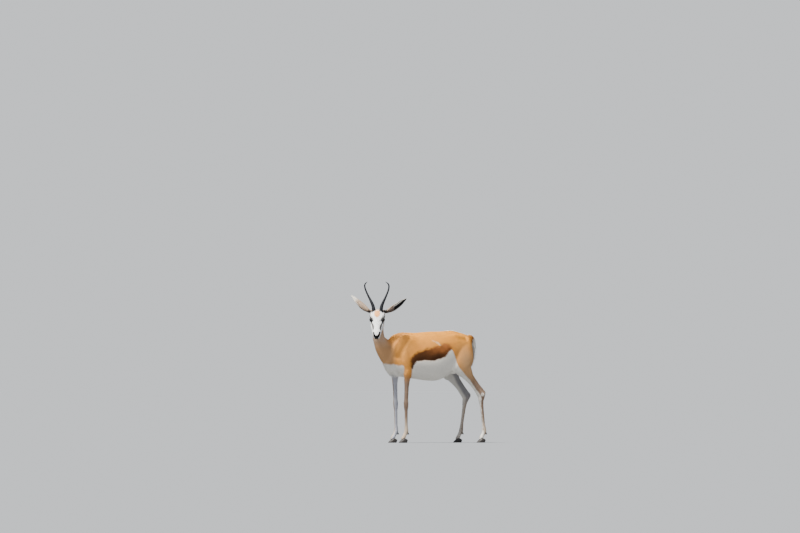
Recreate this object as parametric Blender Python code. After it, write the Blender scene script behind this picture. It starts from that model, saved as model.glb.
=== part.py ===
"""A springbok ewe, life size, standing with its head turned to its left.

The animal faces -X and its left side faces -Y. Metres, +Z up. The origin is on the floor, under the
middle of the whole animal's bounding box.
"""

import math

import bmesh
import bpy
import numpy as np
from mathutils import Matrix, Vector

# The gap that neighbouring nodes keep, and the thin cuts that part the body.
GAP = 0.0003
CUT = 0.0004

# The body is made as one skin on a fine grid, then given this many triangles.
SKIN_VOXEL = 0.003
SKIN_SMOOTHING = 12
TRUNK_SMOOTHING = 110
HEAD_SMOOTHING = 70
BODY_TRIANGLES = 4300
HEAD_TRIANGLES = 2500

# Heights above the floor.
WITHERS_HEIGHT = 0.763
CROUP_HEIGHT = 0.777
FETLOCK_HEIGHT = 0.078
CORONET_HEIGHT = 0.033

# The head: where the skull meets the neck, which way the face looks, and its length.
POLL = Vector((-0.382, -0.030, 0.900))
FACE_YAW = math.radians(62)
FACE_PITCH = math.radians(47)
HEAD_LENGTH = 0.238

EYE_RADIUS = 0.0168
EYE_CENTRE = (0.0905, 0.0362, 0.0205)
EYE_AXIS = (0.36, 0.90, 0.22)
LID_THICKNESS = 0.0026
EYE_OPENING = (0.0162, 0.0112)

HORN_RISE = 0.2045
HORN_LEAN = 0.0100
HORN_BASE_RADIUS = 0.0110
HORN_RINGS = 14

EAR_LENGTH = 0.181
EAR_THICKNESS = 0.0022

TAIL_ROOT = Vector((0.347, 0.0, 0.724))
TAIL_LOCKS = 20
GOLDEN_ANGLE = math.radians(137.5)

HOOF_LENGTH = 0.050
HOOF_HEIGHT = 0.030
HOOF_HALF_WIDTH = 0.0098
DEWCLAW_RADIUS = 0.0038

NOSTRIL_HALF_WIDTH = 0.0023

LEFT, RIGHT = -1, 1


def clear_scene():
    for obj in list(bpy.data.objects):
        bpy.data.objects.remove(obj, do_unlink=True)


def material(name, colour, roughness):
    made = bpy.data.materials.new(name)
    made.use_nodes = True
    shader = made.node_tree.nodes["Principled BSDF"]
    shader.inputs["Base Color"].default_value = (*colour, 1.0)
    shader.inputs["Roughness"].default_value = roughness
    shader.inputs["Metallic"].default_value = 0.0
    return made


def mesh_object(name, points, faces):
    mesh = bpy.data.meshes.new(name)
    mesh.from_pydata([tuple(p) for p in points], [], faces)
    mesh.update()
    obj = bpy.data.objects.new(name, mesh)
    bpy.context.scene.collection.objects.link(obj)
    return obj


def bake(obj):
    """Replaces an object's mesh by what its modifiers make of it."""
    bpy.context.view_layer.update()
    graph = bpy.context.evaluated_depsgraph_get()
    made = bpy.data.meshes.new_from_object(obj.evaluated_get(graph))
    obj.modifiers.clear()
    obj.data = made
    return obj


def remove(*objects):
    for obj in objects:
        bpy.data.objects.remove(obj, do_unlink=True)


def with_boolean(obj, operation, others, solver="EXACT"):
    """Joins or cuts an object by a collection of closed meshes, which are then removed."""
    group = bpy.data.collections.new("operands")
    bpy.context.scene.collection.children.link(group)
    for other in others:
        group.objects.link(other)
    step = obj.modifiers.new(operation.lower(), "BOOLEAN")
    step.operation = operation
    step.operand_type = "COLLECTION"
    step.collection = group
    step.solver = solver
    bake(obj)
    remove(*others)
    bpy.data.collections.remove(group)
    return obj


def swollen(obj, distance):
    """A copy of a closed object, grown outwards by a distance."""
    copy = bpy.data.objects.new(obj.name + "_swollen", obj.data.copy())
    bpy.context.scene.collection.objects.link(copy)
    grow = copy.modifiers.new("grow", "DISPLACE")
    grow.strength = distance
    grow.mid_level = 0.0
    return bake(copy)


def keep_largest(obj):
    """Keeps only the largest closed surface of an object's mesh."""
    shape = bmesh.new()
    shape.from_mesh(obj.data)
    parts = connected_parts(shape)
    parts.sort(key=lambda faces: -sum(face.calc_area() for face in faces))
    for faces in parts[1:]:
        bmesh.ops.delete(shape, geom=faces, context="FACES")
    bmesh.ops.triangulate(shape, faces=shape.faces[:])
    shape.to_mesh(obj.data)
    shape.free()
    return obj


def connected_parts(shape):
    """The faces of a bmesh, as one list for each surface that hangs together by edges of two faces."""
    left, parts = set(shape.faces), []
    while left:
        stack = [left.pop()]
        part = list(stack)
        while stack:
            whole_edges = [edge for edge in stack.pop().edges if len(edge.link_faces) == 2]
            for face in (face for edge in whole_edges for face in edge.link_faces):
                if face in left:
                    left.remove(face)
                    part.append(face)
                    stack.append(face)
        parts.append(part)
    return parts


def smooth_rows(rows, per_span):
    """A Catmull-Rom curve through rows of numbers, such as a point followed by its sizes."""
    known = np.array(rows, float)
    known = np.vstack([2 * known[0] - known[1], known, 2 * known[-1] - known[-2]])
    made = []
    for i in range(1, len(known) - 2):
        a, b, c, d = known[i - 1 : i + 3]
        for t in np.arange(per_span) / per_span:
            bend = (2 * a - 5 * b + 4 * c - d) * t * t + (3 * b - a - 3 * c + d) * t**3
            made.append(0.5 * (2 * b + (c - a) * t + bend))
    made.append(known[-2])
    return np.array(made)


def skin_rings(rings):
    """Points and faces of a closed tube through rings of points, with a flat cap at each end."""
    rings = np.array(rings, float)
    count, around = rings.shape[:2]
    points = [*rings.reshape(-1, 3), rings[0].mean(0), rings[-1].mean(0)]
    faces = []
    for i in range(count - 1):
        for k in range(around):
            a, b = i * around + k, i * around + (k + 1) % around
            faces.append((a, b, b + around, a + around))
    first, last = count * around, count * around + 1
    for k in range(around):
        faces.append((first, (k + 1) % around, k))
        end = (count - 1) * around
        faces.append((last, end + k, end + (k + 1) % around))
    return points, faces


def facing_out(obj):
    shape = bmesh.new()
    shape.from_mesh(obj.data)
    bmesh.ops.recalc_face_normals(shape, faces=shape.faces[:])
    shape.to_mesh(obj.data)
    shape.free()
    return obj


def egg_ring(middle, side, up, half_width, above, below, power, around=36):
    """A ring of points with one half-height above the widest level and another below it."""
    ring = []
    for k in range(around):
        turn = 2 * math.pi * k / around
        across, rise = math.cos(turn), math.sin(turn)
        across = math.copysign(abs(across) ** (2 / power), across)
        rise = math.copysign(abs(rise) ** (2 / power), rise)
        height = above if rise > 0 else below
        ring.append(middle + side * (half_width * across) + up * (height * rise))
    return ring


def trunk_loft(name, rows, place=None, per_span=5):
    """A loft along X. Each row: x, top, bottom, widest level, half width, power of the outline."""
    place = place or Matrix.Identity(4)
    rings = []
    for x, top, bottom, widest, half_width, power in smooth_rows(rows, per_span):
        middle = Vector((x, 0.0, widest))
        ring = egg_ring(
            middle, Vector((0, 1, 0)), Vector((0, 0, 1)), half_width, top - widest, widest - bottom, power
        )
        rings.append([place @ p for p in ring])
    return facing_out(mesh_object(name, *skin_rings(rings)))


def limb_loft(name, rows, around=20, per_span=4, side=(0, 1, 0)):
    """A tube along a path. Each row: x, y, z, half depth fore and aft, half width side to side."""
    rows = smooth_rows(rows, per_span)
    path = rows[:, :3]
    along = np.gradient(path, axis=0)
    rings = []
    for (x, y, z, depth, width), way in zip(rows, along):
        forward = Vector(way).normalized()
        across = (Vector(side) - forward * forward.dot(Vector(side))).normalized()
        deep = forward.cross(across)
        rings.append(egg_ring(Vector((x, y, z)), across, deep, width, depth, depth, 2.0, around))
    return facing_out(mesh_object(name, *skin_rings(rings)))


def muscle(name, start, end, thickness, width, side=(0, 1, 0), around=24):
    """A spindle from start to end, its thickness along side and its width across both."""
    start, end = Vector(start), Vector(end)
    long_axis = (end - start).normalized()
    across = (Vector(side) - long_axis * long_axis.dot(Vector(side))).normalized()
    third = long_axis.cross(across)
    shape = bmesh.new()
    bmesh.ops.create_uvsphere(shape, u_segments=around, v_segments=around // 2, radius=1.0)
    turn = Matrix((across, third, long_axis)).transposed().to_4x4()
    size = Matrix.Diagonal((thickness, width, (end - start).length / 2, 1.0))
    shape.transform(Matrix.Translation((start + end) / 2) @ turn @ size)
    mesh = bpy.data.meshes.new(name)
    shape.to_mesh(mesh)
    shape.free()
    obj = bpy.data.objects.new(name, mesh)
    bpy.context.scene.collection.objects.link(obj)
    return facing_out(obj)


def mirrored(point, side):
    return Vector((point[0], point[1] * side, point[2]))


# The trunk. Its rows run from the breast to the rump.
def make_trunk():
    rows = [
        (-0.338, 0.625, 0.585, 0.605, 0.022, 2.0),
        (-0.322, 0.668, 0.552, 0.598, 0.045, 2.0),
        (-0.295, 0.704, 0.516, 0.588, 0.064, 2.0),
        (-0.265, 0.736, 0.480, 0.578, 0.077, 1.95),
        (-0.230, 0.754, 0.457, 0.570, 0.086, 1.9),
        (-0.190, WITHERS_HEIGHT, 0.450, 0.562, 0.093, 1.9),
        (-0.140, 0.762, 0.443, 0.556, 0.101, 1.95),
        (-0.080, 0.761, 0.435, 0.553, 0.111, 2.0),
        (-0.020, 0.766, 0.427, 0.553, 0.120, 2.05),
        (0.040, 0.769, 0.423, 0.555, 0.126, 2.1),
        (0.090, 0.770, 0.429, 0.564, 0.124, 2.1),
        (0.135, 0.774, 0.448, 0.582, 0.115, 2.1),
        (0.180, CROUP_HEIGHT, 0.474, 0.604, 0.104, 2.05),
        (0.230, 0.769, 0.500, 0.626, 0.094, 2.0),
        (0.280, 0.756, 0.524, 0.646, 0.082, 2.0),
        (0.315, 0.745, 0.565, 0.664, 0.064, 2.0),
        (0.334, 0.737, 0.615, 0.680, 0.042, 2.0),
        (0.350, 0.725, 0.662, 0.694, 0.020, 2.0),
    ]
    parts = [trunk_loft("trunk", rows)]
    for side in (LEFT, RIGHT):

        def at(x, y, z):
            return Vector((x, y * side, z))

        parts += [
            muscle("shoulder_blade", at(-0.155, 0.046, 0.742), at(-0.285, 0.070, 0.555), 0.022, 0.060),
            muscle("upper_arm", at(-0.300, 0.064, 0.592), at(-0.165, 0.086, 0.470), 0.024, 0.042),
            muscle("triceps", at(-0.195, 0.066, 0.655), at(-0.172, 0.086, 0.462), 0.026, 0.048),
            muscle("breast", at(-0.320, 0.024, 0.610), at(-0.238, 0.046, 0.456), 0.032, 0.030),
            muscle("hip", at(0.150, 0.060, 0.732), at(0.300, 0.050, 0.692), 0.020, 0.036),
            muscle("buttock", at(0.288, 0.044, 0.735), at(0.302, 0.054, 0.505), 0.038, 0.040),
            muscle("flank", at(0.120, 0.096, 0.640), at(0.235, 0.074, 0.500), 0.018, 0.036),
        ]
    parts.append(muscle("udder", (0.175, 0.0, 0.482), (0.250, 0.0, 0.506), 0.034, 0.020))
    return parts


# The neck rises out of the breast, steep and slender, and bears the back of the head.
def make_neck():
    rows = [
        (-0.215, 0.000, 0.590, 0.110, 0.078),
        (-0.265, 0.000, 0.615, 0.096, 0.073),
        (-0.305, 0.000, 0.645, 0.079, 0.061),
        (-0.335, 0.000, 0.675, 0.061, 0.048),
        (-0.357, 0.000, 0.712, 0.0450, 0.038),
        (-0.364, 0.002, 0.755, 0.0395, 0.034),
        (-0.364, 0.006, 0.805, 0.0390, 0.033),
        (-0.363, 0.008, 0.845, 0.0380, 0.033),
        (-0.366, 0.002, 0.878, 0.0370, 0.034),
        (-0.372, -0.005, 0.898, 0.0320, 0.032),
    ]
    return [limb_loft("neck", rows, around=32, per_span=6)]


# The head is modelled with +X towards the nose, +Y to its left and +Z up from the face, then placed.
def head_place():
    """The matrix that puts the head on the neck, looking to the animal's left and down its nose."""
    face = Vector((-math.cos(FACE_YAW), -math.sin(FACE_YAW), 0.0))
    up = Vector((0, 0, 1))
    nose = face * math.cos(FACE_PITCH) - up * math.sin(FACE_PITCH)
    crown = face * math.sin(FACE_PITCH) + up * math.cos(FACE_PITCH)
    left = crown.cross(nose)
    turn = Matrix((nose, left, crown)).transposed().to_4x4()
    return Matrix.Translation(POLL) @ turn


def on_head(x, y, z):
    return head_place() @ Vector((x, y, z))


def head_way(way):
    return (head_place().to_3x3() @ Vector(way)).normalized()


def make_head():
    rows = [
        (-0.012, 0.004, -0.040, -0.015, 0.022, 2.0),
        (0.004, 0.026, -0.052, -0.010, 0.036, 2.0),
        (0.024, 0.042, -0.063, -0.008, 0.0430, 2.1),
        (0.045, 0.051, -0.070, -0.006, 0.0475, 2.2),
        (0.068, 0.0525, -0.0705, -0.002, 0.0485, 2.2),
        (0.090, 0.0495, -0.064, 0.000, 0.0475, 2.1),
        (0.110, 0.0440, -0.057, -0.005, 0.0455, 2.1),
        (0.135, 0.0370, -0.051, -0.010, 0.0425, 2.1),
        (0.160, 0.0310, -0.045, -0.012, 0.0365, 2.1),
        (0.185, 0.0262, -0.0395, -0.010, 0.0305, 2.3),
        (0.205, 0.0222, -0.0365, -0.008, 0.0268, 2.5),
        (0.221, 0.0165, -0.0330, -0.007, 0.0245, 2.4),
        (0.2315, 0.0095, -0.0275, -0.008, 0.0195, 2.3),
        (HEAD_LENGTH, -0.0010, -0.0195, -0.009, 0.0110, 2.0),
    ]
    place = head_place()
    parts = [trunk_loft("head", rows, place)]
    across = head_way((0, 1, 0))
    for side in (LEFT, RIGHT):

        def at(x, y, z):
            return on_head(x, y * -side, z)

        parts += [
            muscle("cheek", at(0.032, 0.034, -0.002), at(0.108, 0.036, -0.046), 0.0135, 0.028, across),
            muscle("brow", at(0.062, 0.034, 0.036), at(0.114, 0.035, 0.032), 0.0130, 0.0105, across),
            muscle("cheekbone", at(0.062, 0.042, 0.000), at(0.150, 0.030, -0.002), 0.0080, 0.0090, across),
            muscle("horn_boss", at(0.006, 0.024, 0.022), at(0.044, 0.024, 0.038), 0.0135, 0.0150, across),
            muscle("ear_base", at(-0.010, 0.030, -0.002), at(0.016, 0.052, 0.012), 0.0115, 0.0145, across),
            muscle("temple", at(0.002, 0.038, 0.000), at(0.086, 0.038, 0.014), 0.0140, 0.0210, across),
            muscle("nostril", at(0.204, 0.0185, 0.010), at(0.238, 0.0105, -0.001), 0.0085, 0.0080, across),
            muscle("lip", at(0.178, 0.0205, -0.011), at(0.236, 0.0075, -0.017), 0.0080, 0.0085, across),
        ]
    back, front = on_head(0.188, 0, -0.0330), on_head(0.230, 0, -0.0280)
    parts.append(muscle("chin", back, front, 0.0150, 0.0080, across))
    back, front = on_head(-0.028, 0, -0.022), on_head(0.036, 0, 0.030)
    parts.append(muscle("nape", back, front, 0.0330, 0.0200, across))
    return parts


# Leg joints: where the middle of the limb passes, with the left leg's Y negative.
FORE_JOINTS = {
    LEFT: {
        "shoulder": Vector((-0.205, -0.052, 0.620)),
        "elbow": Vector((-0.184, -0.084, 0.480)),
        "knee": Vector((-0.187, -0.073, 0.272)),
        "fetlock": Vector((-0.184, -0.070, FETLOCK_HEIGHT)),
        "coronet": Vector((-0.206, -0.070, CORONET_HEIGHT)),
    },
    RIGHT: {
        "shoulder": Vector((-0.215, 0.052, 0.620)),
        "elbow": Vector((-0.203, 0.080, 0.480)),
        "knee": Vector((-0.200, 0.069, 0.274)),
        "fetlock": Vector((-0.197, 0.068, FETLOCK_HEIGHT)),
        "coronet": Vector((-0.222, 0.067, CORONET_HEIGHT)),
    },
}
HIND_JOINTS = {
    LEFT: {
        "croup": Vector((0.236, -0.034, 0.725)),
        "hip": Vector((0.242, -0.054, 0.640)),
        "stifle": Vector((0.240, -0.078, 0.525)),
        "hock": Vector((0.380, -0.075, 0.326)),
        "heel": Vector((0.409, -0.075, 0.346)),
        "fetlock": Vector((0.410, -0.070, FETLOCK_HEIGHT)),
        "coronet": Vector((0.388, -0.070, CORONET_HEIGHT)),
    },
    RIGHT: {
        "croup": Vector((0.234, 0.034, 0.725)),
        "hip": Vector((0.238, 0.054, 0.635)),
        "stifle": Vector((0.216, 0.078, 0.498)),
        "hock": Vector((0.334, 0.073, 0.312)),
        "heel": Vector((0.366, 0.073, 0.327)),
        "fetlock": Vector((0.297, 0.068, FETLOCK_HEIGHT)),
        "coronet": Vector((0.273, 0.067, CORONET_HEIGHT)),
    },
}

# Limb thickness: share of the way to the next joint, half depth fore and aft, half width.
FORE_PROFILE = {
    ("shoulder", "elbow"): [
        (0.00, 0.030, 0.018),
        (0.50, 0.046, 0.024),
    ],
    ("elbow", "knee"): [
        (0.00, 0.036, 0.024),
        (0.18, 0.0265, 0.0205),
        (0.40, 0.0205, 0.0175),
        (0.65, 0.0165, 0.0150),
        (0.87, 0.0155, 0.0145),
    ],
    ("knee", "fetlock"): [
        (0.00, 0.0180, 0.0168),
        (0.13, 0.0165, 0.0158),
        (0.26, 0.0128, 0.0122),
        (0.50, 0.0116, 0.0110),
        (0.80, 0.0118, 0.0114),
    ],
    ("fetlock", "coronet"): [
        (0.00, 0.0160, 0.0152),
        (0.45, 0.0130, 0.0136),
        (1.00, 0.0150, 0.0160),
        (1.30, 0.0130, 0.0150),
    ],
}
HIND_PROFILE = {
    ("croup", "hip"): [
        (0.00, 0.050, 0.026),
        (0.50, 0.075, 0.034),
    ],
    ("hip", "stifle"): [
        (0.00, 0.088, 0.040),
        (0.50, 0.092, 0.042),
    ],
    ("stifle", "hock"): [
        (0.00, 0.076, 0.036),
        (0.20, 0.054, 0.031),
        (0.42, 0.036, 0.0240),
        (0.62, 0.0262, 0.0190),
        (0.82, 0.0225, 0.0165),
    ],
    ("hock", "fetlock"): [
        (0.00, 0.0240, 0.0180),
        (0.12, 0.0200, 0.0158),
        (0.26, 0.0148, 0.0128),
        (0.50, 0.0124, 0.0110),
        (0.80, 0.0122, 0.0112),
    ],
    ("fetlock", "coronet"): FORE_PROFILE[("fetlock", "coronet")],
}


def limb_rows(joints, profile):
    rows = []
    for (start, end), stretch in profile.items():
        for share, depth, width in stretch:
            point = joints[start].lerp(joints[end], share)
            rows.append((*point, depth, width))
    return rows


def make_legs():
    parts = []
    for side in (LEFT, RIGHT):
        fore, hind = FORE_JOINTS[side], HIND_JOINTS[side]
        parts.append(limb_loft("foreleg", limb_rows(fore, FORE_PROFILE)))
        parts.append(limb_loft("hind_leg", limb_rows(hind, HIND_PROFILE)))
        heel, calf = hind["heel"], hind["stifle"].lerp(hind["hock"], 0.34) + Vector((0.022, 0, 0.004))
        below = hind["hock"].lerp(hind["fetlock"], 0.16) + Vector((0.006, 0, 0))
        tendon = [
            (*calf, 0.020, 0.014),
            (*calf.lerp(heel, 0.5), 0.0150, 0.0070),
            (*calf.lerp(heel, 0.85), 0.0120, 0.0078),
            (*heel, 0.0090, 0.0105),
            (*heel.lerp(below, 0.5), 0.0110, 0.0125),
            (*below, 0.0110, 0.0125),
        ]
        parts.append(limb_loft("tendon", tendon, around=16))
        elbow = fore["elbow"] + Vector((0.026, 0, 0.004))
        top, bottom = elbow + Vector((0.004, 0, 0.020)), elbow - Vector((0.008, 0, 0.026))
        parts.append(muscle("elbow_point", top, bottom, 0.014, 0.012))
    return parts


def smoothed(obj, rounds, strength):
    """Evens out a fine mesh without shrinking it, by a weak push in and a slightly stronger pull out."""
    mesh = obj.data
    points = np.empty(len(mesh.vertices) * 3)
    mesh.vertices.foreach_get("co", points)
    points = points.reshape(-1, 3)
    edges = np.empty(len(mesh.edges) * 2, int)
    mesh.edges.foreach_get("vertices", edges)
    one, two = edges.reshape(-1, 2).T
    degree = np.bincount(one, minlength=len(points)) + np.bincount(two, minlength=len(points))
    share = strength(points)[:, None]
    for step in [0.60, -0.613] * rounds:
        total = np.empty_like(points)
        for k in range(3):
            total[:, k] = np.bincount(one, points[two, k], len(points))
            total[:, k] += np.bincount(two, points[one, k], len(points))
        points += step * share * (total / degree[:, None] - points)
    mesh.vertices.foreach_set("co", points.ravel())
    mesh.update()


def on_trunk(points):
    """1 on the trunk and the base of the neck, falling to 0 on the head and down the legs."""
    below = np.clip((points[:, 2] - 0.36) / 0.10, 0, 1)
    above = np.clip((0.80 - points[:, 2]) / 0.06, 0, 1)
    return below * above


def round_head(points):
    """1 on the head, falling to 0 down the neck."""
    far = np.linalg.norm(points - np.array(on_head(0.10, 0, 0)), axis=1)
    return np.clip((0.17 - far) / 0.03, 0, 1)


def everywhere(points):
    return np.ones(len(points))


def whole_skin():
    """Trunk, neck, head and legs as one closed skin."""
    pieces = make_trunk() + make_neck() + make_head() + make_legs()
    shape = bmesh.new()
    for piece in pieces:
        shape.from_mesh(piece.data)
    remove(*pieces)
    mesh = bpy.data.meshes.new("body")
    shape.to_mesh(mesh)
    shape.free()
    body = bpy.data.objects.new("body", mesh)
    bpy.context.scene.collection.objects.link(body)
    grid = body.modifiers.new("grid", "REMESH")
    grid.mode = "VOXEL"
    grid.voxel_size = SKIN_VOXEL
    bake(body)
    smoothed(body, TRUNK_SMOOTHING, on_trunk)
    smoothed(body, HEAD_SMOOTHING, round_head)
    smoothed(body, SKIN_SMOOTHING, everywhere)
    return body


def thinned(body):
    """Fewer triangles: the head is thinned by itself, so that it keeps more of them than the rest."""
    middle = on_head(0.10, 0, 0)
    head = [(v.co - middle).length < 0.15 for v in body.data.vertices]
    for of_head, wanted in ((False, BODY_TRIANGLES), (True, HEAD_TRIANGLES)):
        if of_head:
            head = [(v.co - middle).length < 0.15 for v in body.data.vertices]
        busy = [i for i, near in enumerate(head) if near == of_head]
        chosen = set(busy)
        triangles = sum(len(f.vertices) - 2 for f in body.data.polygons)
        here = sum(len(f.vertices) - 2 for f in body.data.polygons if f.vertices[0] in chosen)
        body.vertex_groups.new(name="busy").add(busy, 1.0, "REPLACE")
        fewer = body.modifiers.new("fewer", "DECIMATE")
        fewer.vertex_group = "busy"
        fewer.vertex_group_factor = 1.0
        fewer.ratio = (triangles - here + wanted) / triangles
        fewer.use_collapse_triangulate = True
        bake(body)
        body.vertex_groups.clear()
    return body


def thin_slab(name, middle, normal, half_size):
    """A thin square plate that cuts the body in two where it passes through."""
    shape = bmesh.new()
    bmesh.ops.create_cube(shape, size=1.0)
    way = Vector(normal).normalized()
    turn = way.to_track_quat("Z", "Y").to_matrix().to_4x4()
    size = Matrix.Diagonal((2 * half_size, 2 * half_size, CUT, 1.0))
    shape.transform(Matrix.Translation(middle) @ turn @ size)
    mesh = bpy.data.meshes.new(name)
    shape.to_mesh(mesh)
    shape.free()
    obj = bpy.data.objects.new(name, mesh)
    bpy.context.scene.collection.objects.link(obj)
    return obj


def body_cuts():
    """Where the body is parted: the middle of each cut, its normal and half its size."""
    cuts = [
        (Vector((-0.310, 0.000, 0.668)), Vector((-0.82, 0.0, 0.57)), 0.125),
        (Vector((-0.364, 0.004, 0.837)), Vector((-0.387, -0.729, 0.567)), 0.075),
    ]
    for side in (LEFT, RIGHT):
        fore, hind = FORE_JOINTS[side], HIND_JOINTS[side]
        cuts.append((fore["elbow"].lerp(fore["knee"], 0.22), Vector((0.0, 0.10 * side, 1.0)), 0.046))
        cuts.append((hind["stifle"].lerp(hind["hock"], 0.22), Vector((0.52, 0.0, -0.80)), 0.072))
    return cuts


def middle_of(faces):
    """The middle of some faces, each counted by its area."""
    area = sum(face.calc_area() for face in faces)
    return sum((face.calc_center_median() * face.calc_area() for face in faces), Vector()) / area


def part_body(body):
    """Parts the body by thin cuts and names each piece by the one point of it that is known."""
    slabs = [thin_slab("slab", *cut) for cut in body_cuts()]
    with_boolean(body, "DIFFERENCE", slabs)
    marks = {
        "torso": Vector((0.0, 0.0, 0.60)),
        "neck": Vector((-0.350, 0.0, 0.760)),
        "head": on_head(0.10, 0, 0),
    }
    for side, word in ((LEFT, "left"), (RIGHT, "right")):
        marks[f"foreleg_{word}"] = FORE_JOINTS[side]["knee"]
        marks[f"hind_leg_{word}"] = HIND_JOINTS[side]["hock"].lerp(HIND_JOINTS[side]["fetlock"], 0.3)
    shape = bmesh.new()
    shape.from_mesh(body.data)
    parts = [faces for faces in connected_parts(shape) if len(faces) > 40]
    centres = [middle_of(faces) for faces in parts]
    nodes = {}
    for name, mark in marks.items():
        faces = parts[min(range(len(parts)), key=lambda i: (centres[i] - mark).length)]
        points, index, corners = [], {}, []
        for face in faces:
            corner = []
            for vert in face.verts:
                if vert not in index:
                    index[vert] = len(points)
                    points.append(vert.co.copy())
                corner.append(index[vert])
            corners.append(corner)
        nodes[name] = mesh_object(name, points, corners)
    shape.free()
    remove(body)
    return nodes


def ball(name, centre, radius, level):
    shape = bmesh.new()
    bmesh.ops.create_icosphere(shape, subdivisions=level, radius=radius)
    shape.transform(Matrix.Translation(centre))
    mesh = bpy.data.meshes.new(name)
    shape.to_mesh(mesh)
    shape.free()
    obj = bpy.data.objects.new(name, mesh)
    bpy.context.scene.collection.objects.link(obj)
    return obj


def prism(name, outline, start, end, place):
    """An outline in the YZ plane drawn out from start to end along X, then placed."""
    count = len(outline)
    points = [place @ Vector((x, y, z)) for x in (start, end) for y, z in outline]
    faces = [tuple(reversed(range(count))), tuple(range(count, 2 * count))]
    faces += [(k, (k + 1) % count, (k + 1) % count + count, k + count) for k in range(count)]
    return facing_out(mesh_object(name, points, faces))


def eye_place(side):
    """The matrix at an eye's centre, with +X looking out of the eye and +Z towards the brow."""
    centre = on_head(EYE_CENTRE[0], EYE_CENTRE[1] * -side, EYE_CENTRE[2])
    out = head_way((EYE_AXIS[0], EYE_AXIS[1] * -side, EYE_AXIS[2]))
    brow = head_way((-0.10, 0, 1))
    brow = (brow - out * out.dot(brow)).normalized()
    across = brow.cross(out)
    return Matrix.Translation(centre) @ Matrix((out, across, brow)).transposed().to_4x4()


def almond(half_length, half_height, count=16):
    """The outline of the opening between the lids, pointed at both corners."""
    top = [(half_length * math.cos(math.pi * k / (count / 2)), 0) for k in range(count // 2 + 1)]
    outline = []
    for y, _ in top:
        outline.append((y, half_height * (1 - (y / half_length) ** 2) ** 0.75))
    for y, _ in reversed(top[1:-1]):
        outline.append((y, -0.85 * half_height * (1 - (y / half_length) ** 2) ** 0.75))
    return outline


def finish_face(head):
    """Lids, eye sockets, nostrils and the line of the mouth."""
    domes, sockets, openings = [], [], []
    for side in (LEFT, RIGHT):
        place = eye_place(side)
        centre = place.to_translation()
        dome = ball("lids", Vector((0, 0, 0)), EYE_RADIUS + LID_THICKNESS, 3)
        dome.data.transform(place @ Matrix.Diagonal((1.0, 1.08, 1.0, 1.0)))
        domes.append(dome)
        sockets.append(ball("socket", centre, EYE_RADIUS + GAP, 3))
        openings.append(prism("opening", almond(*EYE_OPENING), 0.004, 0.026, place))
        openings.append(nostril_slit(side))
    with_boolean(head, "UNION", domes)
    with_boolean(head, "DIFFERENCE", sockets)
    with_boolean(head, "DIFFERENCE", [*openings, mouth_groove()])
    return keep_largest(head)


def nostril_slit(side):
    """A bent tube along one nostril, half of it under the surface of the muzzle."""
    rows = [
        (0.2395, 0.0050, -0.0030, 0.5),
        (0.2350, 0.0125, 0.0040, 0.9),
        (0.2270, 0.0185, 0.0098, 1.0),
        (0.2165, 0.0222, 0.0125, 0.4),
    ]
    rows = [(x, y * -side, z, *(NOSTRIL_HALF_WIDTH * share,) * 2) for x, y, z, share in rows]
    slit = limb_loft("nostril", rows, around=8, per_span=2, side=(0, 0, 1))
    slit.data.transform(head_place())
    return slit


def mouth_groove():
    """A V-shaped wedge swept round the muzzle along the line of the mouth."""
    rows = [
        (0.172, 0.0305, -0.0135),
        (0.190, 0.0285, -0.0175),
        (0.207, 0.0268, -0.0205),
        (0.222, 0.0225, -0.0215),
        (0.2325, 0.0140, -0.0205),
        (0.2370, 0.0000, -0.0190),
    ]
    path = rows + [(x, -y, z) for x, y, z in reversed(rows[:-1])]
    path = smooth_rows(path, 2)
    along = np.gradient(path, axis=0)
    rings = []
    for point, way in zip(path, along):
        out = Vector((way[1], -way[0], 0.0)).normalized()
        if out.dot(Vector((point[0] - 0.15, point[1], 0))) < 0:
            out = -out
        middle, up = Vector(point), Vector((0, 0, 1))
        outside = middle + out * 0.004
        corners = (middle - out * 0.0045, outside + up * 0.0013, outside - up * 0.0013)
        rings.append([head_place() @ c for c in corners])
    return facing_out(mesh_object("mouth", *skin_rings(rings)))


def make_eyes(coat):
    eyes = []
    for side, word in ((LEFT, "left"), (RIGHT, "right")):
        eye = ball(f"eye_{word}", eye_place(side).to_translation(), EYE_RADIUS, 3)
        eye.data.materials.append(coat)
        eyes.append(eye)
    return eyes


# The horns: share of the rise, offset from the midline, sweep to the back, radius as a share.
HORN_ROWS = [
    (-0.05, 0.0240, -0.001, 1.00),
    (0.00, 0.0243, 0.000, 1.00),
    (0.18, 0.0299, 0.012, 0.88),
    (0.36, 0.0455, 0.028, 0.68),
    (0.47, 0.0566, 0.040, 0.58),
    (0.57, 0.0658, 0.050, 0.54),
    (0.67, 0.0745, 0.059, 0.50),
    (0.76, 0.0805, 0.066, 0.47),
    (0.84, 0.0833, 0.069, 0.44),
    (0.90, 0.0820, 0.069, 0.41),
    (0.95, 0.0755, 0.065, 0.33),
    (1.00, 0.0618, 0.056, 0.10),
]
HORN_ROOT = (0.026, 0.033)


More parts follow.
